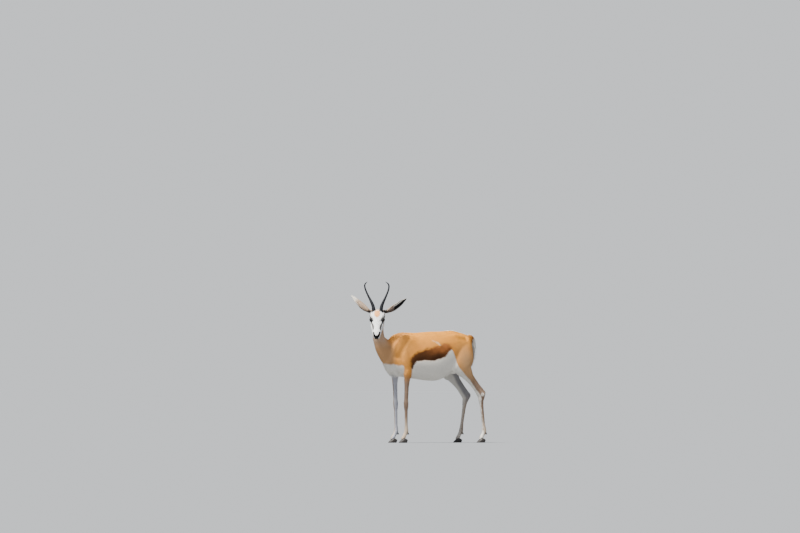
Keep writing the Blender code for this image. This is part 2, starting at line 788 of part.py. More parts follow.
def make_horn(side, word, horn_material):
    """A slender horn, ringed on its lower two thirds, leaning back and hooking in at the tip."""
    root = on_head(HORN_ROOT[0], 0.0, HORN_ROOT[1])
    lateral = head_way((0, -side, 0))
    back = Vector((math.cos(FACE_YAW), math.sin(FACE_YAW), 0.0))
    rows = []
    for rise, offset, sweep, share in HORN_ROWS:
        lean = head_way((0, -1, 0)) * (HORN_LEAN * max(rise, 0.0) ** 1.5)
        point = root + Vector((0, 0, 1)) * (HORN_RISE * rise) + lateral * offset + back * sweep + lean
        rows.append((*point, HORN_BASE_RADIUS * share))
    rows = smooth_rows(rows, 8)
    around = 8
    length = np.concatenate([[0], np.cumsum(np.linalg.norm(np.diff(rows[:, :3], axis=0), axis=1))])
    ringed = 0.62 * length[-1]
    stations = [ringed * (k + part) / HORN_RINGS for k in range(HORN_RINGS) for part in (0.0, 0.5)]
    stations += list(np.linspace(ringed, length[-1], 11))
    rings = []
    for number, at in enumerate(stations):
        x, y, z, radius = (np.interp(at, length, rows[:, k]) for k in range(4))
        before = Vector([np.interp(at - 0.003, length, rows[:, k]) for k in range(3)])
        after = Vector([np.interp(at + 0.003, length, rows[:, k]) for k in range(3)])
        if at < ringed and number % 2 == 1:
            radius *= 1.12 - 0.08 * at / ringed
        way = (after - before).normalized()
        across = (lateral - way * way.dot(lateral)).normalized()
        deep = 1.08 * radius
        ring = egg_ring(Vector((x, y, z)), across, way.cross(across), radius, deep, deep, 2.0, around)
        rings.append(ring)
    horn = facing_out(mesh_object(f"horn_{word}", *skin_rings(rings)))
    horn.data.materials.append(horn_material)
    return horn


# The ears: share of the length, half the width laid flat, half the angle it curls through.
EAR_ROWS = [
    (0.00, 0.0170, 2.50),
    (0.10, 0.0225, 2.15),
    (0.22, 0.0285, 1.70),
    (0.36, 0.0325, 1.35),
    (0.52, 0.0325, 1.15),
    (0.68, 0.0275, 1.05),
    (0.82, 0.0200, 0.95),
    (0.93, 0.0105, 0.90),
    (1.00, 0.0018, 0.80),
]
EAR_ROOT = (0.006, 0.047, 0.008)

# How far each ear points up and sags in its middle, and where its cup opens at the root and the tip:
# 0 ahead, 90 down, 180 back. The left ear turns its cup to the front, the right one its back.
EAR_RISE = {LEFT: math.radians(31), RIGHT: math.radians(40)}
EAR_BOW = {LEFT: 0.007, RIGHT: 0.004}
EAR_OPENING = {LEFT: (50, 45), RIGHT: (155, 130)}


def ear_frame(side, share):
    """The way to an ear's tip, the way its cup opens at a share of its length, and the way across it."""
    lateral = head_way((0, -side, 0))
    lateral = Vector((lateral.x, lateral.y, 0)).normalized()
    front = Vector((-math.cos(FACE_YAW), -math.sin(FACE_YAW), 0.0))
    tip_way = lateral * math.cos(EAR_RISE[side]) + Vector((0, 0, 1)) * math.sin(EAR_RISE[side])
    down = front.cross(tip_way).normalized()
    if down.z > 0:
        down = -down
    at_root, at_tip = EAR_OPENING[side]
    turn = math.radians(at_root + (at_tip - at_root) * min(1.0, 1.5 * share))
    opening = front * math.cos(turn) + down * math.sin(turn)
    return tip_way, opening, tip_way.cross(opening).normalized()


def make_ear(side, word, ear_material):
    """A long pointed cup of skin, rolled almost shut at its root."""
    root = on_head(EAR_ROOT[0], EAR_ROOT[1] * -side, EAR_ROOT[2])
    rows = smooth_rows(EAR_ROWS, 2)
    columns = 9
    back_points, front_points = [], []
    for share, half_width, curl in rows:
        tip_way, opening, across = ear_frame(side, share)
        sag = Vector((0, 0, -1)) * (EAR_BOW[side] * math.sin(math.pi * share))
        thickness = min(EAR_THICKNESS * (1.0 - 0.55 * share), 0.8 * half_width)
        radius = half_width / curl
        middle = root + tip_way * (EAR_LENGTH * share - 0.006) + opening * (0.62 * radius) + sag
        for k in range(columns):
            place = 2 * k / (columns - 1) - 1
            inner = radius - thickness * (1 - 0.45 * place**2)
            way = across * math.sin(curl * place) - opening * math.cos(curl * place)
            back_points.append(middle + way * radius)
            front_points.append(middle + way * max(inner, radius * 0.3))
    count = len(rows)
    points = back_points + front_points
    shift = len(back_points)
    faces = []
    for i in range(count - 1):
        for k in range(columns - 1):
            a, b = i * columns + k, i * columns + k + 1
            c, d = b + columns, a + columns
            faces += [(a, b, c), (a, c, d)]
            faces += [(shift + a, shift + c, shift + b), (shift + a, shift + d, shift + c)]
        for k in (0, columns - 1):
            a, d = i * columns + k, (i + 1) * columns + k
            faces += [(a, d, shift + d), (a, shift + d, shift + a)]
    for i in (0, count - 1):
        for k in range(columns - 1):
            a, b = i * columns + k, i * columns + k + 1
            faces += [(a, b, shift + b), (a, shift + b, shift + a)]
    ear = facing_out(mesh_object(f"ear_{word}", points, faces))
    ear.data.materials.append(ear_material)
    return ear


# The section of a claw: place across it, and share of its height there.
HOOF_SECTION = [
    (-1.00, 0.0),
    (-0.50, 0.0),
    (0.50, 0.0),
    (1.00, 0.0),
    (0.97, 0.45),
    (0.80, 0.85),
    (0.40, 1.0),
    (-0.45, 1.0),
    (-0.84, 0.85),
    (-1.00, 0.45),
]

# From toe to heel: share of the length, of the half width and of the height.
HOOF_ROWS = [
    (0.00, 0.10, 0.10),
    (0.12, 0.50, 0.34),
    (0.30, 0.82, 0.66),
    (0.52, 1.00, 1.00),
    (0.78, 0.98, 0.94),
    (1.00, 0.62, 0.70),
]


def hoof_claw(name, toe, heading, inner, horn_material):
    """One claw of a cloven hoof: flat below, its front wall sloping, tapering to a pointed toe."""
    ahead = Vector(heading).normalized()
    outward = Vector((-ahead.y, ahead.x, 0)) * inner
    rings = []
    for share, wide, high in smooth_rows(HOOF_ROWS, 2):
        ring = []
        for across, up in HOOF_SECTION:
            back = HOOF_LENGTH * share + 0.008 * share * up
            point = toe - ahead * back + outward * (across * HOOF_HALF_WIDTH * wide)
            ring.append(point + Vector((0, 0, up * HOOF_HEIGHT * high)))
        rings.append(ring)
    claw = facing_out(mesh_object(name, *skin_rings(rings)))
    claw.data.materials.append(horn_material)
    return claw


def make_feet(horn_material):
    """Two claws and two dewclaws for each foot, by leg name."""
    feet = {}
    for kind, joints in (("foreleg", FORE_JOINTS), ("hind_leg", HIND_JOINTS)):
        for side, word in ((LEFT, "left"), (RIGHT, "right")):
            at = joints[side]
            coronet, fetlock = at["coronet"], at["fetlock"]
            made = []
            for inner in (1, -1):
                place = "outer" if inner == -side else "inner"
                offset = -inner * 0.0108
                toe = Vector((coronet.x - 0.031, coronet.y + offset, 0.0))
                heading = Vector((-1.0, -offset * 2.2, 0.0))
                name = f"hoof_{kind}_{word}_{place}"
                made.append(hoof_claw(name, toe, heading, inner, horn_material))
                claw_at = fetlock + Vector((0.0115, offset * 0.85, -0.013))
                top, bottom = claw_at + Vector((-0.004, 0, 0.008)), claw_at + Vector((0.004, 0, -0.009))
                name = f"dewclaw_{kind}_{word}_{place}"
                dew = muscle(name, top, bottom, DEWCLAW_RADIUS, 1.1 * DEWCLAW_RADIUS, around=10)
                dew.data.materials.append(horn_material)
                made.append(dew)
            feet[f"{kind}_{word}"] = made
    return feet


def make_tail(hair_material):
    """A thin tail that leaves the rump, hangs between the buttocks and ends in a tuft of flat locks."""
    rows = [
        (-0.012, 0.000, 0.006, 0.0150, 0.0150),
        (0.006, 0.000, -0.004, 0.0120, 0.0130),
        (0.015, -0.001, -0.026, 0.0085, 0.0095),
        (0.017, -0.002, -0.062, 0.0065, 0.0070),
        (0.008, -0.003, -0.104, 0.0055, 0.0058),
        (-0.006, -0.003, -0.140, 0.0046, 0.0048),
        (-0.017, -0.003, -0.170, 0.0030, 0.0032),
    ]
    rows = [(TAIL_ROOT.x + x, TAIL_ROOT.y + y, TAIL_ROOT.z + z, d, w) for x, y, z, d, w in rows]
    tail = limb_loft("tail", rows, around=10, per_span=2)
    path = smooth_rows(rows, 8)[:, :3]
    locks = []
    for number in range(TAIL_LOCKS):
        share = 0.30 + 0.66 * number / (TAIL_LOCKS - 1)
        start = Vector(path[int(share * (len(path) - 1))])
        turn = number * GOLDEN_ANGLE
        out = Vector((math.cos(turn), math.sin(turn), 0.0))
        tip_share = max(0.0, (share - 0.55) / 0.45)
        length = 0.030 + 0.026 * tip_share
        spread = 0.010 + 0.004 * tip_share
        locks.append(lock(start, out, length, spread, 0.0046 + 0.0014 * tip_share))
    with_boolean(tail, "UNION", locks, "MANIFOLD")
    keep_largest(tail)
    tail.data.materials.append(hair_material)
    return tail


def lock(root, out, length, spread, half_width):
    """A flat, tapered lock of hair that leaves its root outwards and bends down."""
    across = Vector((-out.y, out.x, 0))
    rings = []
    for share, wide in ((0.0, 0.75), (0.30, 1.0), (0.65, 0.72), (1.0, 0.10)):
        bend = 0.10 + 1.10 * share - 0.35 * share**2
        middle = root + out * (spread * bend) - Vector((0, 0, length * share))
        half, thick = across * half_width * wide, out * 0.0011 * (1.15 - share * 0.6)
        rings.append([middle + half, middle + thick, middle - half, middle - thick])
    return facing_out(mesh_object("lock", *skin_rings(rings)))


def stand_on_origin(nodes):
    """Moves every node so that the origin is under the middle of the animal, on the floor."""
    corners = np.array([v.co[:] for obj in nodes for v in obj.data.vertices])
    low, high = corners.min(0), corners.max(0)
    shift = Matrix.Translation((-(low[0] + high[0]) / 2, -(low[1] + high[1]) / 2, -low[2]))
    for obj in nodes:
        obj.data.transform(shift)


def main():
    clear_scene()
    tan = material("tan_coat", (0.56, 0.30, 0.11), 0.85)
    white = material("white_coat", (0.80, 0.77, 0.72), 0.85)
    horn_black = material("horn", (0.035, 0.032, 0.030), 0.45)
    hoof_black = material("hoof", (0.040, 0.035, 0.032), 0.50)
    ear_skin = material("ear_coat", (0.55, 0.44, 0.33), 0.85)
    eye_dark = material("eye", (0.020, 0.012, 0.008), 0.08)

    nodes = part_body(thinned(whole_skin()))
    for name, obj in nodes.items():
        obj.data.materials.append(white if name == "head" else tan)
    finish_face(nodes["head"])

    for side, word in ((LEFT, "left"), (RIGHT, "right")):
        for piece in (make_horn(side, word, horn_black), make_ear(side, word, ear_skin)):
            with_boolean(piece, "DIFFERENCE", [swollen(nodes["head"], GAP)])
            nodes[piece.name] = keep_largest(piece)
    for piece in make_eyes(eye_dark):
        nodes[piece.name] = piece

    tail = with_boolean(make_tail(white), "DIFFERENCE", [swollen(nodes["torso"], GAP)])
    nodes["tail"] = keep_largest(tail)

    for leg, pieces in make_feet(hoof_black).items():
        with_boolean(nodes[leg], "DIFFERENCE", [swollen(piece, GAP) for piece in pieces])
        keep_largest(nodes[leg])
        for piece in pieces:
            nodes[piece.name] = piece

    stand_on_origin(list(nodes.values()))
    for obj in nodes.values():
        obj.data.shade_smooth()


main()
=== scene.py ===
import math

import bmesh
import bpy
import numpy as np
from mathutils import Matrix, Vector


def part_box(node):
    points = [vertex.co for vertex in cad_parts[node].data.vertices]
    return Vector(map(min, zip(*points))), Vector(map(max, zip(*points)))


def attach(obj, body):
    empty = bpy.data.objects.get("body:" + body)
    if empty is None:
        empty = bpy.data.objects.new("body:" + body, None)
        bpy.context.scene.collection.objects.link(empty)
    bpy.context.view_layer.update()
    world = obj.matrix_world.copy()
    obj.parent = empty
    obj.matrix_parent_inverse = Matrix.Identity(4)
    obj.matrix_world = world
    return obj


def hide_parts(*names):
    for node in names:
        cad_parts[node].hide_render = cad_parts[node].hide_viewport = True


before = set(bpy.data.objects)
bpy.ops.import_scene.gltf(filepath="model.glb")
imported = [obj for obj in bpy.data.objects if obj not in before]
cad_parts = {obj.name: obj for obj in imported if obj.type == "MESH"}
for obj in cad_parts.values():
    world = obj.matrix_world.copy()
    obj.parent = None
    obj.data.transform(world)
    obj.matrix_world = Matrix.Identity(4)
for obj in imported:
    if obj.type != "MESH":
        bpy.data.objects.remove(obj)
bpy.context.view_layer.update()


# The animal's own places.
# It faces -X and its left side faces -Y. The head is turned to its left and hangs from the poll, so
# places on it run from there: x down the nose, y to the animal's left, z out of the forehead.
FACE_YAW = math.radians(62)
FACE_PITCH = math.radians(47)
EYE_FROM_POLL = Vector((0.0905, 0.0362, 0.0205))
POLL_IN_BODY = Vector((-0.382, -0.030, 0.900))
FACE_MIDDLE = (0.10, 0, 0)

up = Vector((0, 0, 1))
face_ahead = Vector((-math.cos(FACE_YAW), -math.sin(FACE_YAW), 0))
nose_way = face_ahead * math.cos(FACE_PITCH) - up * math.sin(FACE_PITCH)
crown_way = face_ahead * math.sin(FACE_PITCH) + up * math.cos(FACE_PITCH)
left_way = crown_way.cross(nose_way)
eye_corners = [*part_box("eye_left"), *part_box("eye_right")]
eye_middle = sum(eye_corners, Vector()) / 4
poll = eye_middle - nose_way * EYE_FROM_POLL.x - crown_way * EYE_FROM_POLL.z
body_shift = poll - POLL_IN_BODY
head_axes = np.array([nose_way, left_way, crown_way])


def in_head(points):
    """Frame points as head places."""
    return (points - np.array(poll)) @ head_axes.T


def from_head(places):
    """Head places as frame points."""
    return np.asarray(places, float) @ head_axes + np.array(poll)


def in_body(points):
    """Frame points as body places: x from the girth to the tail, y to the right, z above the floor."""
    return points - np.array(body_shift)


def on_left(places):
    """Head places, with those on the right laid over the left."""
    return np.column_stack([places[:, 0], np.abs(places[:, 1]), places[:, 2]])


def from_face(places):
    """How far head places lie from the middle of the face."""
    return np.linalg.norm(places - FACE_MIDDLE, axis=1)


def ramp(low, high, value):
    """0 below low, 1 above high and smooth between; low may be the greater."""
    share = np.clip((value - low) / (high - low), 0.0, 1.0)
    return share * share * (3 - 2 * share)


# The skin of trunk, neck, head and legs.
# A springbok's hide lies close over lean muscle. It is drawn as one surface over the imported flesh,
# evened out, and sinks under the outline by the depth of the coat.
SKIN_VOXEL = 0.0048
NODE_SWELL = 0.0004
SOCKET_SWELL = 0.0008
EVENING_STEPS = [0.60, -0.615]
TRUNK_ROUNDS = 60
HEAD_ROUNDS = 14
LIMB_ROUNDS = 6
FLESH_NODES = [
    "torso",
    "neck",
    "head",
    "foreleg_left",
    "foreleg_right",
    "hind_leg_left",
    "hind_leg_right",
]


def rows_of(items, name, width, kind=float):
    """One property of a mesh's points, edges, triangles or corners, as rows of numbers."""
    flat = np.empty(len(items) * width, kind)
    items.foreach_get(name, flat)
    return flat.reshape(-1, width)


def points_of(mesh):
    return rows_of(mesh.vertices, "co", 3)


def put_points(mesh, points):
    mesh.vertices.foreach_set("co", np.ascontiguousarray(points, np.float32).ravel())
    mesh.update()


def normals_of(mesh):
    return rows_of(mesh.vertices, "normal", 3, np.float32).astype(float)


def merged_swollen(nodes, swell):
    """A bmesh of copies of CAD nodes, each grown so that the cuts between them close."""
    joined = bmesh.new()
    for name in nodes:
        piece = bmesh.new()
        piece.from_mesh(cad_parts[name].data)
        bmesh.ops.remove_doubles(piece, verts=piece.verts[:], dist=1e-5)
        piece.normal_update()
        for vert in piece.verts:
            vert.co += vert.normal * swell
        mesh = bpy.data.meshes.new("grown")
        piece.to_mesh(mesh)
        piece.free()
        joined.from_mesh(mesh)
        bpy.data.meshes.remove(mesh)
    return joined


def linked(name, data):
    obj = bpy.data.objects.new(name, data)
    bpy.context.scene.collection.objects.link(obj)
    return obj


def facing_out(mesh, weld=0.0):
    """Turns the faces of a closed mesh outwards, after joining points that lie within the weld."""
    shape = bmesh.new()
    shape.from_mesh(mesh)
    if weld:
        bmesh.ops.remove_doubles(shape, verts=shape.verts[:], dist=weld)
    bmesh.ops.recalc_face_normals(shape, faces=shape.faces[:])
    shape.to_mesh(mesh)
    shape.free()


def ring_faces(count, around):
    """The numbering of points that lie in rings, and the faces between the rings."""
    index = np.arange(count * around).reshape(count, around)
    ahead = np.roll(index, -1, axis=1)
    return index, np.stack([index[:-1], ahead[:-1], ahead[1:], index[1:]], -1).reshape(-1, 4).tolist()


def capped_rings(name, rings):
    """A closed mesh from rings of points, with a flat cap at each end."""
    rings = np.asarray(rings)
    index, faces = ring_faces(*rings.shape[:2])
    mesh = bpy.data.meshes.new(name)
    mesh.from_pydata(rings.reshape(-1, 3).tolist(), [], faces + [index[0, ::-1].tolist(), index[-1].tolist()])
    facing_out(mesh)
    return mesh


def baked(obj):
    """Replaces an object's mesh by what its modifiers make of it."""
    bpy.context.view_layer.update()
    graph = bpy.context.evaluated_depsgraph_get()
    made = bpy.data.meshes.new_from_object(obj.evaluated_get(graph))
    obj.modifiers.clear()
    obj.data = made
    return obj


flesh = merged_swollen(FLESH_NODES, NODE_SWELL)
eyeballs = merged_swollen(["eye_left", "eye_right"], SOCKET_SWELL)
flesh_mesh = bpy.data.meshes.new("flesh")
eyeball_mesh = bpy.data.meshes.new("eyeballs")
eyeballs.to_mesh(eyeball_mesh)
flesh.from_mesh(eyeball_mesh)
flesh.to_mesh(flesh_mesh)
flesh.free()
eyeballs.free()
skin = linked("skin", flesh_mesh)
grid = skin.modifiers.new("grid", "REMESH")
grid.mode = "VOXEL"
grid.voxel_size = SKIN_VOXEL
baked(skin)


def keep_largest(mesh):
    """Deletes all but the largest connected surface of a mesh."""
    shape = bmesh.new()
    shape.from_mesh(mesh)
    shape.verts.index_update()
    label = np.full(len(shape.verts), -1)
    count = 0
    for start in shape.verts:
        if label[start.index] >= 0:
            continue
        stack = [start]
        label[start.index] = count
        while stack:
            for edge in stack.pop().link_edges:
                for vert in edge.verts:
                    if label[vert.index] < 0:
                        label[vert.index] = count
                        stack.append(vert)
        count += 1
    sizes = np.bincount(label)
    if count > 1:
        spare = [v for v in shape.verts if label[v.index] != sizes.argmax()]
        bmesh.ops.delete(shape, geom=spare, context="VERTS")
        shape.to_mesh(mesh)
    shape.free()


keep_largest(skin.data)


def edge_ends(mesh):
    return rows_of(mesh.edges, "vertices", 2, np.int64).T


def averaged(values, one, two):
    """Each vertex's value replaced by the mean of its neighbours'."""
    count = len(values)
    degree = np.bincount(one, minlength=count) + np.bincount(two, minlength=count)
    total = np.empty_like(values)
    for k in range(values.shape[1]):
        total[:, k] = np.bincount(one, values[two, k], count) + np.bincount(two, values[one, k], count)
    return total / np.maximum(degree, 1)[:, None]


def evened(points, one, two, rounds, strength):
    """Smooths without shrinking: a pull in and a slightly stronger push out, each round."""
    points = points.copy()
    for step in EVENING_STEPS * rounds:
        points += step * strength[:, None] * (averaged(points, one, two) - points)
    return points


skin_points = points_of(skin.data)
ends = edge_ends(skin.data)
body = in_body(skin_points)
on_head = ramp(0.185, 0.150, from_face(in_head(skin_points)))
on_limb = ramp(0.45, 0.40, body[:, 2])
skin_points = evened(skin_points, *ends, TRUNK_ROUNDS, (1 - on_limb) * (1 - on_head))
skin_points = evened(skin_points, *ends, HEAD_ROUNDS, on_head)
skin_points = evened(skin_points, *ends, LIMB_ROUNDS, np.ones(len(skin_points)))
put_points(skin.data, skin_points)


def coat_depth(points):
    """How far the skin lies under the outline: deep on belly and rump, thin on face and legs."""
    body = in_body(points)
    depth = 0.0040 + 0.0012 * ramp(0.56, 0.46, body[:, 2]) + 0.0012 * ramp(0.26, 0.33, body[:, 0])
    depth += (0.0012 - depth) * ramp(0.185, 0.140, from_face(in_head(points)))
    return depth + (0.0014 - depth) * ramp(0.44, 0.32, body[:, 2])


put_points(skin.data, points_of(skin.data) - normals_of(skin.data) * coat_depth(skin_points)[:, None])


# The face.
# Thin hide over the skull: lids close round each eye, the nostrils are slits that meet above the lip,
# and the mouth line runs back under the muzzle. It is drawn on a finer mesh than the body.
EYE_RADIUS = 0.0168
EYE_AXIS = (0.36, 0.90, 0.22)
LID_OPENING = (0.0146, 0.0096)
LID_SLANT = 0.10
LIP_CLEFT = [(0.2400, 0.0, -0.0040), (0.2400, 0.0, -0.0100), (0.2390, 0.0, -0.0165)]
NOSTRIL = [
    (0.2395, 0.0050, -0.0030),
    (0.2350, 0.0125, 0.0040),
    (0.2270, 0.0185, 0.0098),
    (0.2165, 0.0222, 0.0125),
]
MOUTH = [
    (0.172, 0.0305, -0.0135),
    (0.190, 0.0285, -0.0175),
    (0.207, 0.0268, -0.0205),
    (0.222, 0.0225, -0.0215),
    (0.2325, 0.0140, -0.0205),
    (0.2385, 0.0000, -0.0190),
]
FINE_MIDDLE = (0.115, 0, 0)
FINE_REACH = 0.135
FACE_ROUNDS = 6
LID_ROUNDS = 14


def refined(mesh, near):
    """Splits once, across both ways, the faces whose corners a function picks from the points."""
    shape = bmesh.new()
    shape.from_mesh(mesh)
    chosen = near(np.array([v.co[:] for v in shape.verts]))
    shape.verts.ensure_lookup_table()
    edges = {e for v in shape.verts if chosen[v.index] for f in v.link_faces for e in f.edges}
    bmesh.ops.subdivide_edges(shape, edges=list(edges), cuts=1, use_grid_fill=True, smooth=0.0)
    bmesh.ops.triangulate(shape, faces=[f for f in shape.faces if len(f.verts) > 4])
    shape.to_mesh(mesh)
    shape.free()


def near_face(points):
    return np.linalg.norm(in_head(points) - FINE_MIDDLE, axis=1) < FINE_REACH


def near_features(points):
    places = on_left(in_head(points))
    near = (np.linalg.norm(places - EYE_FROM_POLL, axis=1) < 0.030) | (places[:, 0] > 0.168)
    return near & near_face(points)


refined(skin.data, near_face)
refined(skin.data, near_features)
skin_points = points_of(skin.data)
ends = edge_ends(skin.data)
put_points(skin.data, evened(skin_points, *ends, FACE_ROUNDS, near_face(skin_points).astype(float)))


def curve_through(rows, per_span):
    """A smooth curve through rows of numbers."""
    known = np.array(rows, float)
    known = np.vstack([2 * known[0] - known[1], known, 2 * known[-1] - known[-2]])
    made = []
    for a, b, c, d in zip(known, known[1:], known[2:], known[3:]):
        for t in np.arange(per_span) / per_span:
            bend = (2 * a - 5 * b + 4 * c - d) * t * t + (3 * b - a - 3 * c + d) * t**3
            made.append(0.5 * (2 * b + (c - a) * t + bend))
    return np.array([*made, known[-2]])


def nearest_on(curve, places):
    """Distance from each place to a curve, and how far along it, 0 to 1, the nearest point lies."""
    gaps = np.linalg.norm(places[:, None] - curve[None], axis=2)
    return gaps.min(1), gaps.argmin(1) / (len(curve) - 1)


def eye_axes(side):
    """Unit ways at an eye: towards the nose, towards the brow and out of the eye; side is 1 on the left."""
    out = np.array(EYE_AXIS) * (1, side, 1)
    out /= np.linalg.norm(out)
    brow = np.array((-0.10, 0.0, 1.0))
    brow -= out * (out @ brow)
    brow /= np.linalg.norm(brow)
    nose = np.cross(out, brow)
    return (nose if nose[0] > 0 else -nose), brow, out


def lid_measure(along, rise):
    """How far outside the almond between the lids a place is; negative inside it."""
    half_length, half_height = LID_OPENING
    rise = rise + LID_SLANT * along
    share = np.clip(np.abs(along) / half_length, 0, 1)
    height = half_height * (1 - share**2) ** 0.75 * np.where(rise > 0, 1.0, 0.82)
    beyond = np.abs(along) - half_length
    return np.where(beyond > 0, np.hypot(np.maximum(beyond, 0), rise), np.abs(rise) - height)


def rim_gap(places):
    """How far outside the opening between the lids head places on or near the lids are."""
    nose, brow, out = eye_axes(1)
    offset = on_left(places) - EYE_FROM_POLL
    reach = np.linalg.norm(offset, axis=1)
    on_ball = offset * (EYE_RADIUS / np.maximum(reach, 1e-6))[:, None]
    gap = lid_measure(on_ball @ nose, on_ball @ brow)
    return np.where((offset @ out < 0) | (reach > EYE_RADIUS + 0.014), 0.05, gap)


def with_lids(places, side):
    """Moves the skin round one eye on to lids that lie on the eyeball, and sinks it inside the opening."""
    centre = np.array(EYE_FROM_POLL) * (1, side, 1)
    nose, brow, out = eye_axes(side)
    offset = places - centre
    reach = np.linalg.norm(offset, axis=1)
    way = offset / np.maximum(reach, 1e-6)[:, None]
    on_ball = way * EYE_RADIUS
    along, rise = on_ball @ nose, on_ball @ brow
    outside = lid_measure(along, rise)
    upper = ramp(-0.004, 0.004, rise)
    swell = 0.0006 + 0.0009 * ramp(0.0, 0.0016, outside) + 0.0015 * upper * ramp(0.0004, 0.0028, outside)
    swell -= (0.0003 + 0.0012 * upper) * ramp(0.0036, 0.0056, outside)
    radius = np.where(outside > 0, EYE_RADIUS + swell, EYE_RADIUS - 0.0017)
    near = ramp(0.0170, 0.0040, outside) * ramp(-0.004, 0.002, offset @ out)
    moved = places + way * ((radius - reach) * near)[:, None]
    return np.where((reach < 0.040)[:, None], moved, places), ramp(0.0042, 0.0070, outside) * (reach < 0.036)


places = in_head(points_of(skin.data))
face = near_face(points_of(skin.data))
normals = normals_of(skin.data) @ head_axes.T
shaped = places.copy()
mirrored = on_left(places)

# Bone and muscle that show under the hide: brow ridge, cheekbone, the hollow before the eye, the fuller
# cheek behind it, the hollow of the lip and the edge of the jaw. A hollow has a height below zero.
SWELLINGS = [
    ((0.086, 0.034, 0.043), (0.030, 0.014, 0.012), 0.0018),
    ((0.128, 0.034, 0.000), (0.034, 0.016, 0.010), 0.0012),
    ((0.128, 0.036, 0.016), (0.020, 0.014, 0.009), -0.0020),
    ((0.062, 0.047, 0.018), (0.036, 0.020, 0.022), 0.0036),
    ((0.160, 0.030, -0.020), (0.030, 0.016, 0.012), -0.0014),
    ((0.100, 0.034, -0.048), (0.040, 0.016, 0.010), 0.0012),
]


def swelling(centre, size, height):
    """A soft rise of the skin round a head place, its size given down the nose, across and up."""
    gap = np.linalg.norm((mirrored - centre) / size, axis=1)
    return height * ramp(1.0, 0.0, gap)


rise = sum(swelling(*row) for row in SWELLINGS)
gap, along = nearest_on(curve_through(NOSTRIL, 8), mirrored)
half_width = 0.0013 + 0.0014 * np.sin(np.pi * np.clip(along * 1.05, 0, 1))
rise += 0.0013 * ramp(0.0075, 0.0035, gap) * ramp(0.15, 0.5, along)
rise -= 0.0050 * ramp(1.8, 0.3, gap / half_width)
gap, along = nearest_on(curve_through(MOUTH, 8), mirrored)
rise += 0.0008 * ramp(0.0070, 0.0035, gap) - 0.0026 * ramp(0.0030, 0.0004, gap) * ramp(0.0, 0.08, along)
gap, _ = nearest_on(curve_through(LIP_CLEFT, 6), mirrored)
rise -= 0.0010 * ramp(0.0018, 0.0004, gap)

shaped += normals * (rise * face)[:, None]
around_eye = np.zeros(len(shaped))
for side in (1, -1):
    shaped, ring = with_lids(shaped, side)
    around_eye = np.maximum(around_eye, ring)
ends = edge_ends(skin.data)
shaped = evened(shaped, *ends, LID_ROUNDS, around_eye)
put_points(skin.data, from_head(shaped))


# The ears.
# Each is a long pointed cup of gristle and thin hide, rolled nearly shut where it joins the head. The left
# one turns its cup ahead and down, the right one shows its back.
EAR_LENGTH = 0.181
EAR_WALL = 0.0014
EAR_ROOT = (0.006, 0.047, 0.008)
EAR_RISE = {1: math.radians(31), -1: math.radians(40)}
EAR_BOW = {1: 0.007, -1: 0.004}
EAR_OPENING = {1: (50, 45), -1: (155, 130)}
EAR_ROWS = [
    (-0.05, 0.0150, 2.60),
    (0.00, 0.0170, 2.50),
    (0.10, 0.0225, 2.15),
    (0.22, 0.0285, 1.70),
    (0.36, 0.0325, 1.35),
    (0.52, 0.0325, 1.15),
    (0.68, 0.0275, 1.05),
    (0.82, 0.0200, 0.95),
    (0.93, 0.0105, 0.90),
    (1.00, 0.0018, 0.80),
]
EAR_COLUMNS = 17
EAR_JOIN_ROUNDS = 6

ear_curve = curve_through(EAR_ROWS, 6)


def ear_tip_way(side):
    lateral = np.array(left_way) * side * (1, 1, 0)
    lateral /= np.linalg.norm(lateral)
    return lateral * math.cos(EAR_RISE[side]) + np.array(up) * math.sin(EAR_RISE[side])


def ear_section(side, share):
    """At shares of an ear's length: its curl's middle, the ways out of and across it, radius and curl."""
    tip = ear_tip_way(side)
    ahead = np.array(face_ahead)
    down = np.cross(ahead, tip)
    down *= -np.sign(down[2]) / np.linalg.norm(down)
    at_root, at_tip = EAR_OPENING[side]
    turn = np.radians(at_root + (at_tip - at_root) * np.clip(1.5 * share, 0.0, 1.0))[:, None]
    opening = ahead * np.cos(turn) + down * np.sin(turn)
    half_width = np.interp(share, ear_curve[:, 0], ear_curve[:, 1])
    curl = np.interp(share, ear_curve[:, 0], ear_curve[:, 2])
    radius = half_width / curl
    sag = EAR_BOW[side] * np.sin(np.pi * np.clip(share, 0.0, 1.0))
    middle = from_head(np.array(EAR_ROOT) * (1, side, 1)) + tip * (EAR_LENGTH * share - 0.006)[:, None]
    middle = middle + opening * (0.62 * radius)[:, None] - np.array(up) * sag[:, None]
    return middle, opening, np.cross(tip, opening), radius, curl


def ear_shell(side):
    """Points of an ear's back and of its cup as grids: rows from root to tip, columns across."""
    share = ear_curve[:, 0]
    middle, opening, across, radius, curl = (part[:, None] for part in ear_section(side, share))
    radius, curl = radius[..., None], curl[..., None]
    place = np.linspace(-1, 1, EAR_COLUMNS)[None, :, None]
    way = across * np.sin(curl * place) - opening * np.cos(curl * place)
    wave = 0.0005 * np.sin(9 * place + 14 * share[:, None, None])
    wave = wave * np.sin(np.pi * np.clip(share, 0.0, 1.0))[:, None, None]
    wall = np.minimum(EAR_WALL * (1.0 - 0.5 * share), 0.8 * ear_curve[:, 1])[:, None, None]
    inner = np.maximum(radius - wall * (1 - 0.5 * place**2) + wave, 0.3 * radius)
    return middle + way * (radius - 0.0003), middle + way * inner


